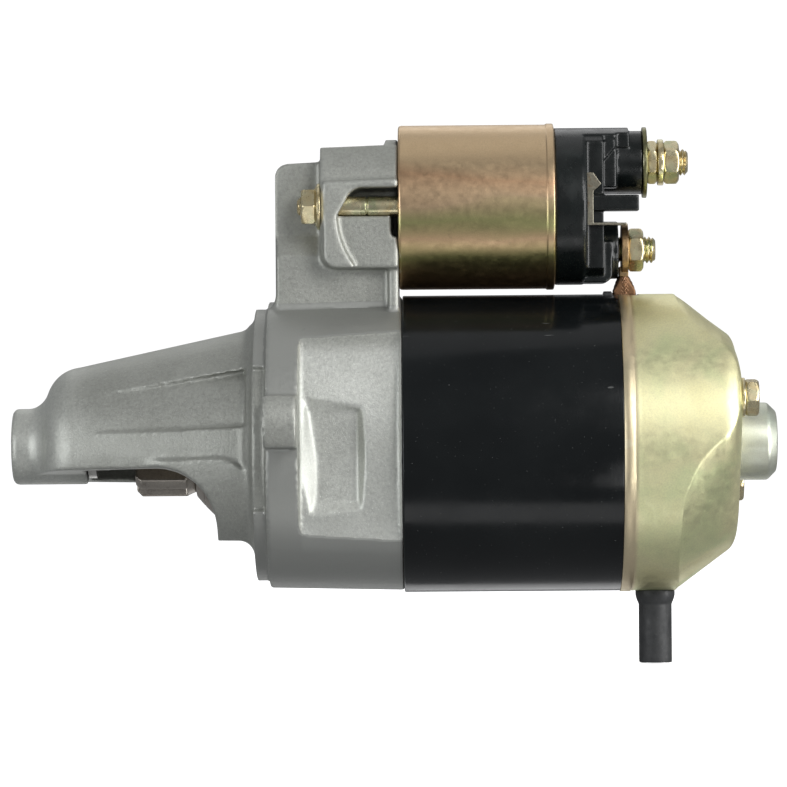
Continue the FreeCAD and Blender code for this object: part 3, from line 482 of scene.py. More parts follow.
def cast_aluminium():
    """Grey die casting with a fine sparkle. The turned faces are darker and smoother. The as-cast sides of
    the cup and the tip of the nose are lighter, and the rest of the casting, including the neck under the
    solenoid, is darker: partly the sparkly as-cast finish, partly painted shade."""
    paint = Paint("cast_aluminium", 0.62, 0.5)
    grain = paint.noise(0.9, 4.0, 0.7)
    speck = paint.noise(0.4, 2.0, 0.6)
    cloud = paint.noise(24.0, 3.0, 0.6)
    tone = paint.ramp(cloud, [(0.3, (0.43, 0.435, 0.405)), (0.7, (0.53, 0.535, 0.505))])
    fine = paint.ramp(grain, [(0.3, (0.80, 0.80, 0.80)), (0.52, (1.0, 1.0, 1.0)),
                              (0.75, (1.18, 1.18, 1.17))])
    tone = paint.mix(0.8, tone, fine, "MULTIPLY")
    sparkle = paint.step(speck, 0.64, 0.73)
    tone = paint.mix(paint.math("MULTIPLY", sparkle, 0.5), tone, (0.86, 0.86, 0.84))
    worn = paint.edges(0.53, 0.62)
    tone = paint.mix(paint.math("MULTIPLY", worn, 0.30), tone, (0.74, 0.74, 0.71))
    along = paint.axis("X")
    # Painted shade: the casting is darkened everywhere except the cup's flanks and the nose tip, which are
    # lightened; partly the as-cast finish.
    relief = paint.math("MULTIPLY", paint.step(along, 0.0096, 0.0110),
                        paint.step(paint.math("ABSOLUTE", paint.axis("Y")), 0.029, 0.032))
    tip = paint.step(along, -0.050, -0.066)
    as_cast_and_lit_share = paint.math("MAXIMUM", relief, paint.math("MULTIPLY", tip, 0.7))
    finish_and_painted_shade = paint.ramp(as_cast_and_lit_share, [(0.0, (0.78, 0.785, 0.765)), (1.0, (1.22, 1.23, 1.22))])
    tone = paint.mix(1.0, tone, finish_and_painted_shade, "MULTIPLY")
    radius = paint.math("SUBTRACT", paint.axis_radius(), paint.math("MULTIPLY", along, CUP_TAPER))
    cup = paint.math("MULTIPLY", paint.step(radius, (CUP_R - 0.25) * MM, (CUP_R - 0.08) * MM),
                     paint.math("LESS_THAN", radius, 0.0445))
    cup = paint.math("MULTIPLY", cup, paint.math("GREATER_THAN", along, -0.001))
    pilot = paint.math("MULTIPLY", paint.step(radius, (REGISTER_R - 0.25) * MM, (REGISTER_R - 0.05) * MM),
                       paint.math("LESS_THAN", along, 0.0))
    turned = paint.math("MAXIMUM", cup, pilot)
    turned = paint.math("MULTIPLY", turned, paint.math("LESS_THAN", radius, 0.0445))
    tone = paint.mix(paint.math("MULTIPLY", turned, 0.85), tone, (0.34, 0.345, 0.325))
    paint.colour(tone)
    paint.roughness(paint.remap(grain, 0.3, 0.7, 0.40, 0.58))
    lines = paint.noise(0.35, 2.0, 0.5, paint.stretched((1.0, 0.02, 0.02)))
    rough_height = paint.math("ADD", grain, paint.math("MULTIPLY", speck, 0.5))
    cast_share = paint.math("SUBTRACT", 1.0, paint.math("MULTIPLY", turned, 0.85))
    dents = paint.bump(paint.noise(5.5, 3.0, 0.6), 0.16, 0.5)
    height = paint.math("ADD", paint.math("MULTIPLY", rough_height, cast_share),
                        paint.math("MULTIPLY", lines, paint.math("MULTIPLY", turned, 0.12)))
    paint.bump(height, 0.14, 0.7, dents)
    return paint.material


def black_paint():
    """Gloss black enamel with a little orange peel, dust and a few fine scratches."""
    paint = Paint("black_paint", 0.0, 0.16, Specular_IOR_Level=0.27)
    cloud = paint.noise(30.0)
    tone = paint.ramp(cloud, [(0.3, (0.0035, 0.0045, 0.0050)), (0.7, (0.0075, 0.0090, 0.0095))])
    streak_place = paint.stretched((0.10, 1.0, 0.16))
    streak = paint.step(paint.noise(0.8, 1.0, 0.5, streak_place), 0.755, 0.775)
    patch = paint.step(paint.noise(11.0, 1.0), 0.56, 0.62)
    scratch = paint.math("MULTIPLY", streak, patch)
    dust = paint.step(paint.noise(0.5, 1.0), 0.77, 0.80)
    mark = paint.math("MINIMUM", paint.math("ADD", paint.math("MULTIPLY", scratch, 0.8), dust), 1.0)
    tone = paint.mix(paint.math("MULTIPLY", mark, 0.35), tone, (0.30, 0.31, 0.30))
    worn = paint.edges(0.56, 0.64)
    tone = paint.mix(paint.math("MULTIPLY", worn, 0.25), tone, (0.12, 0.12, 0.12))
    paint.colour(tone)
    paint.roughness(paint.remap(paint.noise(14.0, 4.0, 0.65), 0.35, 0.7, 0.13, 0.24))
    paint.bump(paint.noise(2.4, 2.0, 0.5), 0.02, 0.35)
    return paint.material


def zinc(name, tones, blob_mm, roughness, band=None, speck=0.35, stretch=(1.0, 1.0, 1.0), stains=0.30,
         lip_tint=None):
    """Yellow chromate over zinc: the film's tint drifts through tones in blobs of that size. With a band,
    the tones are also laid from dark at the bottom to light at the top: painted shade and painted
    reflection bands. The cover's lip has a tint of its own."""
    paint = Paint(name, 1.0, roughness)
    place = paint.stretched(stretch)
    drift = paint.noise(blob_mm, 3.0, 0.55, place, 0.6)
    # Painted light: the band lays the tones from dark at the bottom to light at the top, as shade and
    # reflections fall, over the film's own drift.
    if band is not None:
        drift = paint.math("ADD", paint.math("MULTIPLY", drift, 0.45),
                           paint.math("MULTIPLY", band(paint), 0.78))
    stops = [(0.18 + 0.64 * index / (len(tones) - 1), tone) for index, tone in enumerate(tones)]
    tone = paint.ramp(drift, stops)
    fine = paint.noise(speck, 3.0, 0.7)
    tone = paint.mix(0.5, tone, paint.ramp(fine, [(0.3, (0.80, 0.80, 0.80)), (0.7, (1.12, 1.12, 1.12))]),
                     "MULTIPLY")
    stain = paint.step(paint.noise(5.0, 5.0, 0.7), 0.60, 0.74)
    tone = paint.mix(paint.math("MULTIPLY", stain, stains), tone, (0.26, 0.20, 0.12))
    if lip_tint is not None:
        lip = paint.step(paint.axis("X"), COVER_LIP_END * MM, (COVER_LIP_END - 1.6) * MM)
        tone = paint.mix(paint.math("MULTIPLY", lip, 0.55), tone, lip_tint)
    worn = paint.edges(0.54, 0.62)
    tone = paint.mix(paint.math("MULTIPLY", worn, 0.4), tone, (0.80, 0.76, 0.58))
    paint.colour(tone)
    paint.roughness(paint.remap(paint.noise(3.0, 5.0, 0.7), 0.3, 0.7, roughness - 0.07, roughness + 0.10))
    paint.bump(paint.math("ADD", fine, paint.math("MULTIPLY", paint.noise(1.6, 3.0), 0.6)), 0.03, 0.45)
    return paint.material


def painted_light_band(paint):
    """0 at the bottom of the solenoid to 1 at its top; it lays painted shade low on the can and painted
    highlight and reflection bands high on it.
    """
    height = paint.axis("Z")
    return paint.remap(height, (SOLENOID_Z - SOLENOID_R) * MM, (SOLENOID_Z + SOLENOID_R) * MM)


def rubber():
    """Matt black rubber with a little dust."""
    paint = Paint("rubber", 0.0, 0.55, Specular_IOR_Level=0.4)
    tone = paint.ramp(paint.noise(6.0, 4.0, 0.65),
                      [(0.3, (0.020, 0.021, 0.022)), (0.75, (0.042, 0.043, 0.044))])
    dust = paint.step(paint.noise(0.6, 3.0, 0.7), 0.60, 0.72)
    paint.colour(paint.mix(paint.math("MULTIPLY", dust, 0.3), tone, (0.11, 0.11, 0.105)))
    paint.roughness(paint.remap(paint.noise(2.5, 3.0), 0.3, 0.7, 0.45, 0.68))
    paint.bump(paint.noise(0.5, 3.0, 0.6), 0.04, 0.5)
    return paint.material


def moulded_plastic(name, dark, light, roughness):
    """A glass-filled moulding: fairly glossy, with faint flow marks and dust."""
    paint = Paint(name, 0.0, roughness, Specular_IOR_Level=0.42)
    flow = paint.noise(9.0, 4.0, 0.6, paint.stretched((1.0, 1.0, 0.5)), 1.2)
    tone = paint.ramp(flow, [(0.3, dark), (0.75, light)])
    dust = paint.step(paint.noise(0.45, 2.0, 0.6), 0.68, 0.76)
    paint.colour(paint.mix(paint.math("MULTIPLY", dust, 0.22), tone, (0.16, 0.17, 0.165)))
    paint.roughness(paint.remap(paint.noise(5.0, 4.0, 0.65), 0.3, 0.7, roughness - 0.08, roughness + 0.12))
    paint.bump(paint.noise(0.8, 3.0, 0.6), 0.03, 0.4)
    return paint.material


def plain_metal(name, dark, light, roughness, grain_mm=0.5, stretch=(1.0, 1.0, 1.0), depth_mm=0.02,
                stain=(0.12, 0.09, 0.06), stain_share=0.25, metallic=1.0):
    """Bare or lightly finished metal with grain, soft stains and brighter edges."""
    paint = Paint(name, metallic, roughness)
    grain = paint.noise(grain_mm, 4.0, 0.65, paint.stretched(stretch))
    cloud = paint.noise(8.0, 4.0, 0.6)
    mixed = paint.math("ADD", paint.math("MULTIPLY", grain, 0.5), paint.math("MULTIPLY", cloud, 0.5))
    tone = paint.ramp(mixed, [(0.32, dark), (0.68, light)])
    stained = paint.step(paint.noise(3.5, 5.0, 0.7), 0.56, 0.70)
    tone = paint.mix(paint.math("MULTIPLY", stained, stain_share), tone, stain)
    brighter = tuple(min(1.0, 1.5 * c + 0.05) for c in light)
    tone = paint.mix(paint.math("MULTIPLY", paint.edges(0.54, 0.62), 0.45), tone, brighter)
    paint.colour(tone)
    paint.roughness(paint.remap(grain, 0.3, 0.7, roughness - 0.06, roughness + 0.10))
    paint.bump(grain, depth_mm, 0.5)
    return paint.material


def laminated():
    """Stacked core sheets, as fine lines across the axis."""
    paint = Paint("lamination", 0.9, 0.45)
    sheets = paint.noise(0.5, 1.0, 0.5, paint.stretched((1.0, 0.01, 0.01)))
    paint.colour(paint.ramp(sheets, [(0.35, (0.10, 0.10, 0.11)), (0.65, (0.30, 0.30, 0.31))]))
    paint.roughness(paint.remap(sheets, 0.3, 0.7, 0.38, 0.55))
    paint.bump(sheets, 0.05, 0.6)
    return paint.material


COVER_TONES = [(0.80, 0.70, 0.44), (0.80, 0.75, 0.44), (0.87, 0.83, 0.51), (0.77, 0.80, 0.47),
               (0.88, 0.84, 0.53)]
# The can's tones run roughly from dark to light. Laid by height, they paint shade at the bottom and
# reflection bands at the top, partly the chromate's own tint.
CASE_TONES = [(0.35, 0.20, 0.105), (0.47, 0.31, 0.16), (0.41, 0.39, 0.16), (0.58, 0.40, 0.24),
              (0.46, 0.44, 0.20), (0.62, 0.45, 0.28), (0.58, 0.37, 0.22), (0.66, 0.49, 0.30)]
FASTENER_TONES = [(0.52, 0.40, 0.22), (0.66, 0.54, 0.30), (0.70, 0.62, 0.40), (0.54, 0.56, 0.34),
                  (0.68, 0.50, 0.42)]
CAP_TONES = [(0.60, 0.62, 0.52), (0.68, 0.70, 0.60), (0.62, 0.68, 0.57)]
DISC_TONES = [(0.13, 0.13, 0.07), (0.22, 0.21, 0.11), (0.17, 0.19, 0.12)]

PAINTS = {
    "cast_aluminium": cast_aluminium(),
    "black_paint": black_paint(),
    "zinc_cover": zinc("zinc_cover", COVER_TONES, 30.0, 0.44, speck=0.5, stains=0.15,
                       lip_tint=(0.64, 0.47, 0.36)),
    "zinc_case": zinc("zinc_case", CASE_TONES, 30.0, 0.36, painted_light_band, stretch=(0.2, 1.0, 1.0)),
    "zinc_cap": zinc("zinc_cap", CAP_TONES, 9.0, 0.46, stains=0.05),
    "zinc_fastener": zinc("zinc_fastener", FASTENER_TONES, 5.5, 0.28, speck=0.3, stains=0.2),
    "rubber": rubber(),
    "black_plastic": moulded_plastic("black_plastic", (0.0030, 0.0040, 0.0040),
                                     (0.008, 0.011, 0.0105), 0.26),
    "bronze": plain_metal("bronze", (0.35, 0.20, 0.09), (0.55, 0.36, 0.18), 0.38),
    "steel": plain_metal("steel", (0.30, 0.29, 0.27), (0.48, 0.47, 0.44), 0.30),
    "gear_steel": plain_metal("gear_steel", (0.30, 0.27, 0.235), (0.54, 0.50, 0.44), 0.38,
                              stain=(0.07, 0.05, 0.035), stain_share=0.35),
    "spring_steel": plain_metal("spring_steel", (0.16, 0.16, 0.16), (0.30, 0.30, 0.30), 0.32),
    "ferrite": plain_metal("ferrite", (0.035, 0.036, 0.040), (0.075, 0.076, 0.080), 0.6, metallic=0.2),
    "lamination": laminated(),
    "copper": plain_metal("copper", (0.45, 0.20, 0.11), (0.70, 0.36, 0.22), 0.30),
    "copper_braid": plain_metal("copper_braid", (0.13, 0.070, 0.038), (0.28, 0.155, 0.085), 0.48,
                                stain=(0.06, 0.04, 0.03), stain_share=0.6),
    "tinned_strip": plain_metal("tinned_strip", (0.24, 0.22, 0.17), (0.46, 0.43, 0.34), 0.32,
                                stain=(0.26, 0.14, 0.06), stain_share=0.65),
    "carbon": plain_metal("carbon", (0.018, 0.018, 0.020), (0.050, 0.050, 0.052), 0.55, metallic=0.1),
}

SPECIAL_PAINTS = {
    "battery_disc": zinc("dark_zinc", DISC_TONES, 6.0, 0.34),
    "lead_eyelet": plain_metal("tarnished_copper", (0.24, 0.15, 0.075), (0.46, 0.33, 0.18), 0.38,
                               stain=(0.12, 0.07, 0.035), stain_share=0.6),
}


def paint_for(node):
    """A node's own paint if it has one, or else its material slot's."""
    return SPECIAL_PAINTS.get(node) or PAINTS[slot_of_node[node]]


for node_name, node_object in nodes.items():
    node_object.data.materials.clear()
    node_object.data.materials.append(paint_for(node_name))


def replace_with_shape(name, node, shape, sharp=35.0):
    """A drawn shape that stands for a CAD node."""
    finish_piece(shape_object(name, shape), [node], paint_for(node), sharp)


def replace_with_remesh(name, node, voxel, passes, sharp=60.0):
    """A softened copy that stands for a CAD node."""
    finish_piece(remeshed(name, node, voxel, passes), [node], paint_for(node), sharp, scaled=True)


# ---- the drive housing ----
def snap_turned_faces(mesh):
    """Puts the points of the turned faces back on their true radius, so that their edges stay crisp."""
    for vertex in mesh.vertices:
        x, y, z = vertex.co
        radius = math.hypot(y, z)
        for true_radius, start, end in ((CUP_R + CUP_TAPER * x, 0.4, 39.2), (REGISTER_R, -3.8, -0.4)):
            if start < x < end and 0.0 < abs(radius - true_radius) < 0.22:
                vertex.co = (x, y * true_radius / radius, z * true_radius / radius)


def parting_line(mesh):
    """A thin raised line along both flanks of the nose."""
    half_width = 0.9
    rise = 0.28
    for vertex in mesh.vertices:
        x, y, z = vertex.co
        if not -50.0 < x < -5.0 or abs(y) < 12.0:
            continue
        level = 3.9 + 2.0 * (x + 50.0) / 49.0
        share = 1.0 - abs(z - level) / half_width
        if share > 0:
            vertex.co.y += math.copysign(rise * share, y)


def drive_housing():
    """The casting, with its bolt holes filled, because the voxels are too coarse for them."""
    plug = revolved([(20.5, 0.0), (20.5, 2.7), (41.5, 2.7), (41.5, 0.0)], 24, 0, BOLT_CIRCLE_R)
    piece = remeshed("housing_casting", "drive_housing", 0.62, 3, filling=two_round(plug))
    snap_turned_faces(piece.data)
    parting_line(piece.data)
    finish_piece(piece, ["drive_housing"], PAINTS["cast_aluminium"], 50.0, scaled=True)


# ---- motor shell and rear cover ----
def yoke():
    """The painted tube, with the gap for the lead cut in its rear edge."""
    inner = YOKE_R - YOKE_WALL
    corners = [(YOKE_FRONT, inner, 0.4), (YOKE_FRONT, YOKE_R, 0.5),
               (YOKE_REAR, YOKE_R, 0.3), (YOKE_REAR, inner, 0.4)]
    piece = shape_object("yoke_tube", revolved(rounded(corners), 256))
    cut_lead_gap(piece)
    finish_piece(piece, ["yoke"], PAINTS["black_paint"])


def cut_lead_gap(piece):
    """Cuts the gap at the top, across the yoke's rear edge and the cover's lip, out of a piece."""
    gap = shape_object("gap", box_shape(100.2, 110.6, -6.5, 6.5, 36.0, 50.0))
    cut = piece.modifiers.new("gap", "BOOLEAN")
    cut.operation = "DIFFERENCE"
    cut.object = gap
    settle_modifiers(piece)
    bpy.data.objects.remove(gap)


def between(x, table):
    """The value at x in a table of (x, value), on straight lines between its rows."""
    for (x0, low), (x1, high) in zip(table, table[1:]):
        if x < x1:
            return low + (high - low) * max(x - x0, 0.0) / (x1 - x0)
    return table[-1][1]


# half the width of the cover's ridge at each X, and the turn over which the cover falls off beside it
RIDGE_HALF_WIDTH = [(121.0, YOKE_R), (121.4, 34.0), (122.0, 29.5), (123.6, 26.6), (125.4, 23.2),
                    (127.3, 20.6), (130.5, 17.4), (133.7, 14.8), (136.8, 10.6), (138.5, 6.0), (139.0, 4.5)]
RIDGE_FALL = math.radians(42)


def quarter_round(x, end, corner):
    """How far a corner of that radius has turned in at x, when it ends flat at end."""
    into = min(max(x - (end - corner), 0.0), corner)
    return corner - math.sqrt(corner ** 2 - into ** 2)


def cover_radius(angle, x, end):
    """The cover's outer form: a cup pressed in to a cone but for the ridge between its two bolts."""
    drum = YOKE_R - quarter_round(x, end, 4.5)
    past = x - CONE_START
    soft = CONE_SLOPE * 0.5 * (past + math.sqrt(past ** 2 + 1.2))
    cone = YOKE_R - soft - 1.5 * quarter_round(x, end, 2.2)
    off_ridge = abs((angle + math.radians(RIDGE_TURN) + math.pi / 2) % math.pi - math.pi / 2)
    crease = math.asin(min(between(x, RIDGE_HALF_WIDTH) / YOKE_R, 1.0))
    share = min(max((off_ridge - crease) / RIDGE_FALL, 0.0), 1.0)
    fallen = math.sin(share * math.pi / 2)
    blend = min(max((x - 119.5) / 1.5, 0.0), 1.0)
    return drum + (cone - drum) * fallen * blend


def rear_cover():
    """The pressed cover with its wall's thickness, closed towards the hub."""
    inner_end = PLATEAU - COVER_WALL

    def outside(x):
        return lambda angle: (x, cover_radius(angle, x, PLATEAU))

    def inside(x):
        return lambda angle: (x, cover_radius(angle, x + COVER_WALL, PLATEAU) - 0.8 * COVER_WALL)

    lip = [(YOKE_REAR, YOKE_R - COVER_WALL), (YOKE_REAR, YOKE_R + 0.1), (YOKE_REAR + 0.15, YOKE_R + 0.25)]
    lip += [(107.3, YOKE_R + 0.25), (107.6, YOKE_R), (107.9, YOKE_R + 0.05), (COVER_LIP_END, YOKE_R)]
    stations = [110.0, 112.5, 115.0, 117.0, 118.5]
    stations += [119.5 + 0.35 * step for step in range(42)]
    stations += [PLATEAU - 4.5 * (1 - math.sin(math.radians(turn))) for turn in range(6, 91, 6)]
    loops = lip + [outside(x) for x in stations]
    loops += [(PLATEAU, 26.0), (PLATEAU, 8.0), (inner_end, 8.0), (inner_end, 24.0)]
    loops += [inside(inner_end - 0.01 - 0.9 * step) for step in range(20)]
    loops += [(116.0, YOKE_R - COVER_WALL)]
    piece = shape_object("rear_cover_shell", revolved(loops, 360))
    cut_lead_gap(piece)
    finish_piece(piece, ["rear_cover"], PAINTS["zinc_cover"], 50.0)


def bearing_cap():
    """The pressed cup over the end of the shaft, hollow, with a thin rim where it meets the cover."""
    shoulder = CAP_END - 2.7
    hollow = CAP_R - CAP_WALL
    corners = [(PLATEAU, hollow, 0), (PLATEAU, CAP_R, 0.2), (shoulder, CAP_R, 1.6),
               (CAP_END, CAP_R - 2.7, 1.6), (CAP_END, 0.0, 0), (shoulder, 0.0, 0), (shoulder, hollow, 0)]
    rim = [(PLATEAU, CAP_R - 0.7, 0.1), (PLATEAU, CAP_R, 0.25), (PLATEAU + 0.9, CAP_R, 0.1),
           (PLATEAU + 0.9, CAP_R - 0.7, 0.1)]
    shape = combined(revolved(rounded(corners, 8), 128), revolved(rounded(rim), 128))
    replace_with_shape("bearing_cap_cup", "bearing_cap", shape, 40.0)


def cover_fasteners():
    """The two through bolts with their washers, and the two screws that hold the brush plate."""
    seat = PLATEAU + BOLT_WASHER
    washers = two_round(washer(5.8, 2.7, PLATEAU, seat, 0, BOLT_CIRCLE_R))
    replace_with_shape("bolt_washers", "through_bolt_washers", washers)
    shank = revolved([(21.5, 0.0), (21.5, BOLT_R), (seat + 0.1, BOLT_R), (seat + 0.1, 0.0)],
                     48, 0, BOLT_CIRCLE_R)
    bolt = combined(hex_head(BOLT_HEAD_FLATS, seat, seat + 4.0, 0, BOLT_CIRCLE_R), shank)
    replace_with_shape("case_bolts", "through_bolts", two_round(bolt))
    top = PLATEAU + 1.7
    head = [(PLATEAU, 0.0, 0), (PLATEAU, 3.6, 0.1), (top - 0.6, 3.6, 0.4), (top, 2.6, 0.4), (top, 0.0, 0)]
    shank = revolved([(118.0, 0.0), (118.0, 2.0), (PLATEAU + 0.1, 2.0), (PLATEAU + 0.1, 0.0)],
                     32, PLATE_SCREW_Y, PLATE_SCREW_Z)
    screw = combined(revolved(rounded(head), 48, PLATE_SCREW_Y, PLATE_SCREW_Z), shank)
    replace_with_shape("plate_screws", "brush_plate_screws", two_round(screw))


def drain_tube():
    """The rubber hose, whose cut end is a little uneven outside its bore."""
    piece = remeshed("drain_hose", "drain_tube", 0.22, 4)
    end_zone = -64.6
    bore_edge = 3.4
    for vertex in piece.data.vertices:
        x = vertex.co.x - DRAIN_X
        y = vertex.co.y
        if vertex.co.z < end_zone and math.hypot(x, y) > bore_edge:
            vertex.co.z += 0.125 + 0.125 * math.sin(3 * math.atan2(y, x))
    finish_piece(piece, ["drain_tube"], PAINTS["rubber"], 60.0, scaled=True)


# ---- solenoid ----
def solenoid_case():
    """The drawn can: its front edge is rolled, and its rear rim is crimped over the cap."""
    inner = SOLENOID_R - SOLENOID_WALL
    corners = [
        (39.0, inner, 0.3),
        (39.0, SOLENOID_R, 1.1),
        (82.9, SOLENOID_R, 0.3),
        (83.3, SOLENOID_R + 0.3, 0.25),
        (85.3, SOLENOID_R + 0.3, 0.5),
        (85.6, SOLENOID_R - 1.0, 0.2),
        (85.6, inner, 0.2),
    ]
    can = revolved(rounded(corners, 6), 192, 0, SOLENOID_Z)
    front = [(39.8, 10.4, 0.1), (39.8, inner + 0.2, 0.1), (41.4, inner + 0.2, 0.1), (41.4, 10.4, 0.1)]
    disc = revolved(rounded(front, 2), 96, 0, SOLENOID_Z)
    replace_with_shape("solenoid_can", "solenoid_case", combined(can, disc), 40.0)


def seat_fasteners():
    """The two long studs of the solenoid and their flanged nuts."""
    studs = []
    nuts = []
    for y in (-STUD_Y, STUD_Y):
        studs.append(threaded_rod(SOLENOID_STUD_R, SOLENOID_STUD_PITCH, 28.0, 20.0, 9.2, y, STUD_Z))
        shank = [(28.0, 0.0, 0), (28.0, 3.0, 0.1), (29.4, 3.0, 0.2), (29.6, 2.7, 0.1), (30.0, 2.7, 0.1),
                 (30.2, 3.0, 0.2), (42.5, 3.0, 0.1), (42.5, 0.0, 0)]
        studs.append(revolved(rounded(shank), 64, y, STUD_Z))
        flange = [(16.0, 3.1, 0), (16.0, 6.9, 0.2), (15.2, 6.9, 0.3), (14.3, 5.2, 0.4), (14.3, 3.1, 0)]
        nuts.append(hex_nut(10.0, 10.4, 15.0, SOLENOID_STUD_R, y, STUD_Z))
        nuts.append(revolved(rounded(flange), 72, y, STUD_Z))
    replace_with_shape("seat_studs", "solenoid_studs", combined(*studs))
    replace_with_shape("seat_nuts", "solenoid_nuts", combined(*nuts))


def terminals():
    """Both terminal studs with what is stacked on them, and the bent strip beside them."""
    battery = threaded_rod(TERMINAL_R, TERMINAL_PITCH, 95.0, 110.5, 125.7, 0, BATTERY_Z)
    replace_with_shape("battery_thread", "battery_stud", battery, 45.0)
    motor = threaded_rod(TERMINAL_R, TERMINAL_PITCH, 95.0, 104.0, 115.8, 0, MOTOR_Z)
    replace_with_shape("motor_thread", "motor_stud", motor, 45.0)
    nuts = combined(
        hex_nut(TERMINAL_FLATS, 113.3, 116.6, TERMINAL_R, 0, BATTERY_Z, 30),
        hex_nut(TERMINAL_FLATS, 118.4, 123.0, TERMINAL_R, 0, BATTERY_Z, 30),
        hex_nut(TERMINAL_FLATS, 107.6, 112.2, TERMINAL_R, 0, MOTOR_Z, 30),
    )
    replace_with_shape("stud_nuts", "terminal_nuts", nuts)
    stud_washer = washer(6.9, 4.05, 116.6, 118.4, 0, BATTERY_Z, 0.35)
    replace_with_shape("stud_washer", "terminal_washers", stud_washer)
    insulator = washer(10.6, 4.05, 112.0, 113.3, 0, BATTERY_Z, 0.3)
    replace_with_shape("insulator_disc", "battery_disc", insulator)
    replace_with_remesh("eyelet", "lead_eyelet", 0.15, 5)
    replace_with_remesh("tab_strip", "terminal_tab", 0.12, 4)


# ---- springs and the motor lead ----
def outward(node):
    """The direction from the motor axis to the middle of a node."""
    low, high = (Vector(corner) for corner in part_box(node))
    middle = (low + high) / 2
    return Vector((0, middle.y, middle.z)).normalized()


def working_spring(name, node, direction, one_side=False):
    """A copy of a spring node, painted and riding with its body. With one_side it is only the part of the
    node that lies in that direction from the motor axis."""
    mesh = nodes[node].data.copy()
    mesh.name = name
    if one_side:
        work = bmesh.new()
        work.from_mesh(mesh)
        others = [v for v in work.verts if v.co.dot(direction) < 0.9 * math.hypot(v.co.y, v.co.z)]
        bmesh.ops.delete(work, geom=others, context="VERTS")
        work.to_mesh(mesh)
        work.free()
    piece = mesh_object(name, mesh)
    finish_piece(piece, [node], paint_for(node), 60.0)
    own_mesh(piece)


def braid():
    """The lead: two sets of fine strands wound both ways round a flat core."""
    levels = [(49.6, 106.2, 1.3, 3.9), (48.2, 106.3, 2.0, 4.1), (46.8, 106.4, 2.6, 4.1),
              (44.6, 106.4, 3.3, 4.1), (42.0, 106.0, 2.9, 3.9), (37.2, 105.6, 1.8, 3.3)]

    def section(z):
        for (z0, *low), (z1, *high) in zip(levels, levels[1:]):
            if z >= z1:
                share = (z0 - z) / (z0 - z1)
                return [a + (b - a) * share for a, b in zip(low, high)]
        return levels[-1][1:]

    dice = random.Random(4)
    strands = []
    count = 22
    top = levels[0][0]
    for way in (-1, 1):
        for index in range(count):
            phase = 2 * math.pi * (index + dice.uniform(-0.2, 0.2)) / count
            path = []
            for step in range(27):
                z = top - 0.47 * step
                x, half_x, half_y = section(z)
                angle = phase + way * step * 0.11
                weave = 0.12 * math.cos(count * angle / 2 + way * math.pi / 2)
                path.append((x + (half_x + weave) * math.cos(angle), (half_y + weave) * math.sin(angle), z))
            strands.append(strand(path, 0.30))
    piece = shape_object("lead_braid", combined(*strands))
    finish_piece(piece, ["motor_lead"], PAINTS["copper_braid"], 60.0)
    core = remeshed("lead_core", "motor_lead", 0.3, 10)
    finish_piece(core, ["motor_lead"], PAINTS["copper_braid"], 60.0, scaled=True)


# ---- all the pieces ----
drive_housing()
yoke()
rear_cover()
bearing_cap()
cover_fasteners()
drain_tube()
solenoid_case()
replace_with_remesh("cap_moulding", "solenoid_cap", 0.34, 5)
seat_fasteners()
terminals()
braid()
replace_with_remesh("lead_seal", "lead_grommet", 0.25, 4)
replace_with_remesh("fork_lever", "shift_lever", 0.35, 6)
replace_with_remesh("pinion_gear", "pinion", 0.24, 3)
replace_with_remesh("clutch_shell", "clutch_barrel", 0.4, 3)
replace_with_remesh("clutch_lid", "clutch_cover", 0.3, 3)
replace_with_remesh("sleeve", "clutch_sleeve", 0.35, 3)
working_spring("plunger_coil", "plunger_spring", Vector((1, 0, 0)))
working_spring("contact_coil", "contact_spring", Vector((1, 0, 0)))
for number in range(1, 5):
    working_spring(f"brush_{number}_coil", "brush_springs",
                   outward(f"brush_{number}"), one_side=True)


# ---- floor, lights and camera ----
def floor():
    """A plain white surface just under the part, seen by the camera and in no reflection."""
    half = 6.0
    low = cad_box[0].z - 0.0005
    mesh = bpy.data.meshes.new("floor")
    corners = [(-half, -half, low), (half, -half, low), (half, half, low), (-half, half, low)]
    mesh.from_pydata(corners, [], [(0, 1, 2, 3)])
    piece = mesh_object("floor", mesh)
    paint = Paint("floor_paint", 0.0, 0.8)
    paint.colour(paint.ramp(paint.noise(400.0), [(0.3, (0.90, 0.90, 0.90)), (0.7, (0.93, 0.93, 0.93))]))
    paint.shader.inputs["Emission Color"].default_value = (1.0, 1.0, 1.0, 1.0)
    paint.shader.inputs["Emission Strength"].default_value = 0.9
    mesh.materials.append(paint.material)
    piece.visible_glossy = False
    piece.visible_diffuse = False


def softbox(name, place, target, width, height, power, tint=(1.0, 1.0, 1.0)):
    """A rectangular lamp in metres and watts that faces the target."""
    data = bpy.data.lights.new(name, "AREA")
    data.shape = "RECTANGLE"
    data.size = width
    data.size_y = height
    data.energy = power
    data.color = tint
    lamp = bpy.data.objects.new(name, data)
    bpy.context.scene.collection.objects.link(lamp)
    lamp.location = place
    lamp.rotation_euler = (Vector(target) - Vector(place)).to_track_quat("-Z", "Y").to_euler()


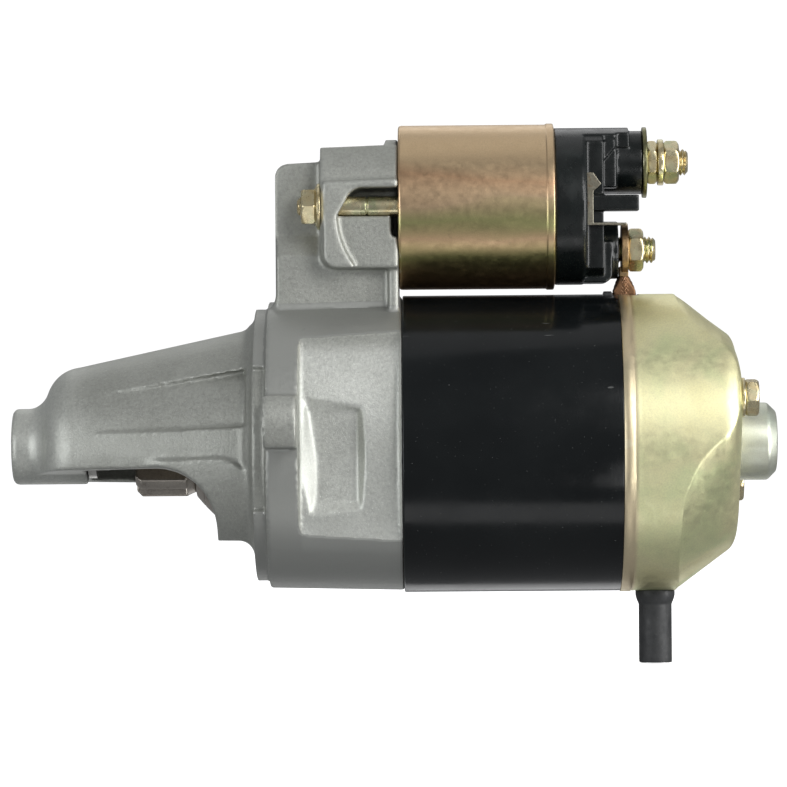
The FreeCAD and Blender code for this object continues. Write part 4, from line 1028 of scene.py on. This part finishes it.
def world():
    """Dim studio surroundings that reflect in the metal, seen as plain white from the camera."""
    setting = bpy.data.worlds.new("studio")
    setting.use_nodes = True
    bpy.context.scene.world = setting
    tree = setting.node_tree
    background = tree.nodes["Background"]
    background.inputs["Color"].default_value = (0.95, 0.97, 1.0, 1.0)
    background.inputs["Strength"].default_value = 0.28
    white = tree.nodes.new("ShaderNodeBackground")
    white.inputs["Strength"].default_value = 1.05
    white.inputs["Color"].default_value = (1.0, 1.0, 1.0, 1.0)
    rays = tree.nodes.new("ShaderNodeLightPath")
    either = tree.nodes.new("ShaderNodeMixShader")
    tree.links.new(rays.outputs["Is Camera Ray"], either.inputs[0])
    tree.links.new(background.outputs[0], either.inputs[1])
    tree.links.new(white.outputs[0], either.inputs[2])
    tree.links.new(either.outputs[0], tree.nodes["World Output"].inputs["Surface"])


def camera():
    """A long lens level with the part, turned and rolled a fraction of a degree."""
    middle = Vector((0.03705, 0.0, 0.01515))
    distance = 1.3
    turn = math.radians(0.6)
    data = bpy.data.cameras.new("camera")
    data.lens = 198.2
    data.sensor_width = 36.0
    eye = bpy.data.objects.new("camera", data)
    bpy.context.scene.collection.objects.link(eye)
    eye.location = middle + Vector((math.sin(turn), -math.cos(turn), 0.0)) * distance
    roll = Matrix.Rotation(math.radians(-0.45), 3, "Z").to_quaternion()
    eye.rotation_euler = ((middle - eye.location).to_track_quat("-Z", "Y") @ roll).to_euler()
    bpy.context.scene.camera = eye


floor()
world()
aim = (0.04, 0.0, 0.01)
softbox("front_box", (0.53, -0.93, 0.52), aim, 0.35, 0.50, 4.4)
softbox("front_low_box", (0.47, -0.97, -0.46), aim, 0.35, 0.35, 3.0)
softbox("right_box", (1.05, -0.50, 0.02), aim, 0.8, 1.0, 15.0)
softbox("left_box", (-0.85, -0.75, 0.0), aim, 0.7, 0.9, 7.0, (0.96, 0.98, 1.0))
softbox("top_box", (0.0, 0.05, 1.0), aim, 1.0, 0.6, 0.8)
softbox("rear_box", (0.0, 0.75, 0.70), aim, 0.9, 0.5, 1.3)
softbox("low_box", (0.1, -0.62, -0.85), aim, 0.9, 0.3, 1.0)
softbox("under_box", (0.1, 0.86, -0.52), aim, 0.9, 0.35, 0.8)
camera()
bpy.context.scene.view_settings.view_transform = "Standard"
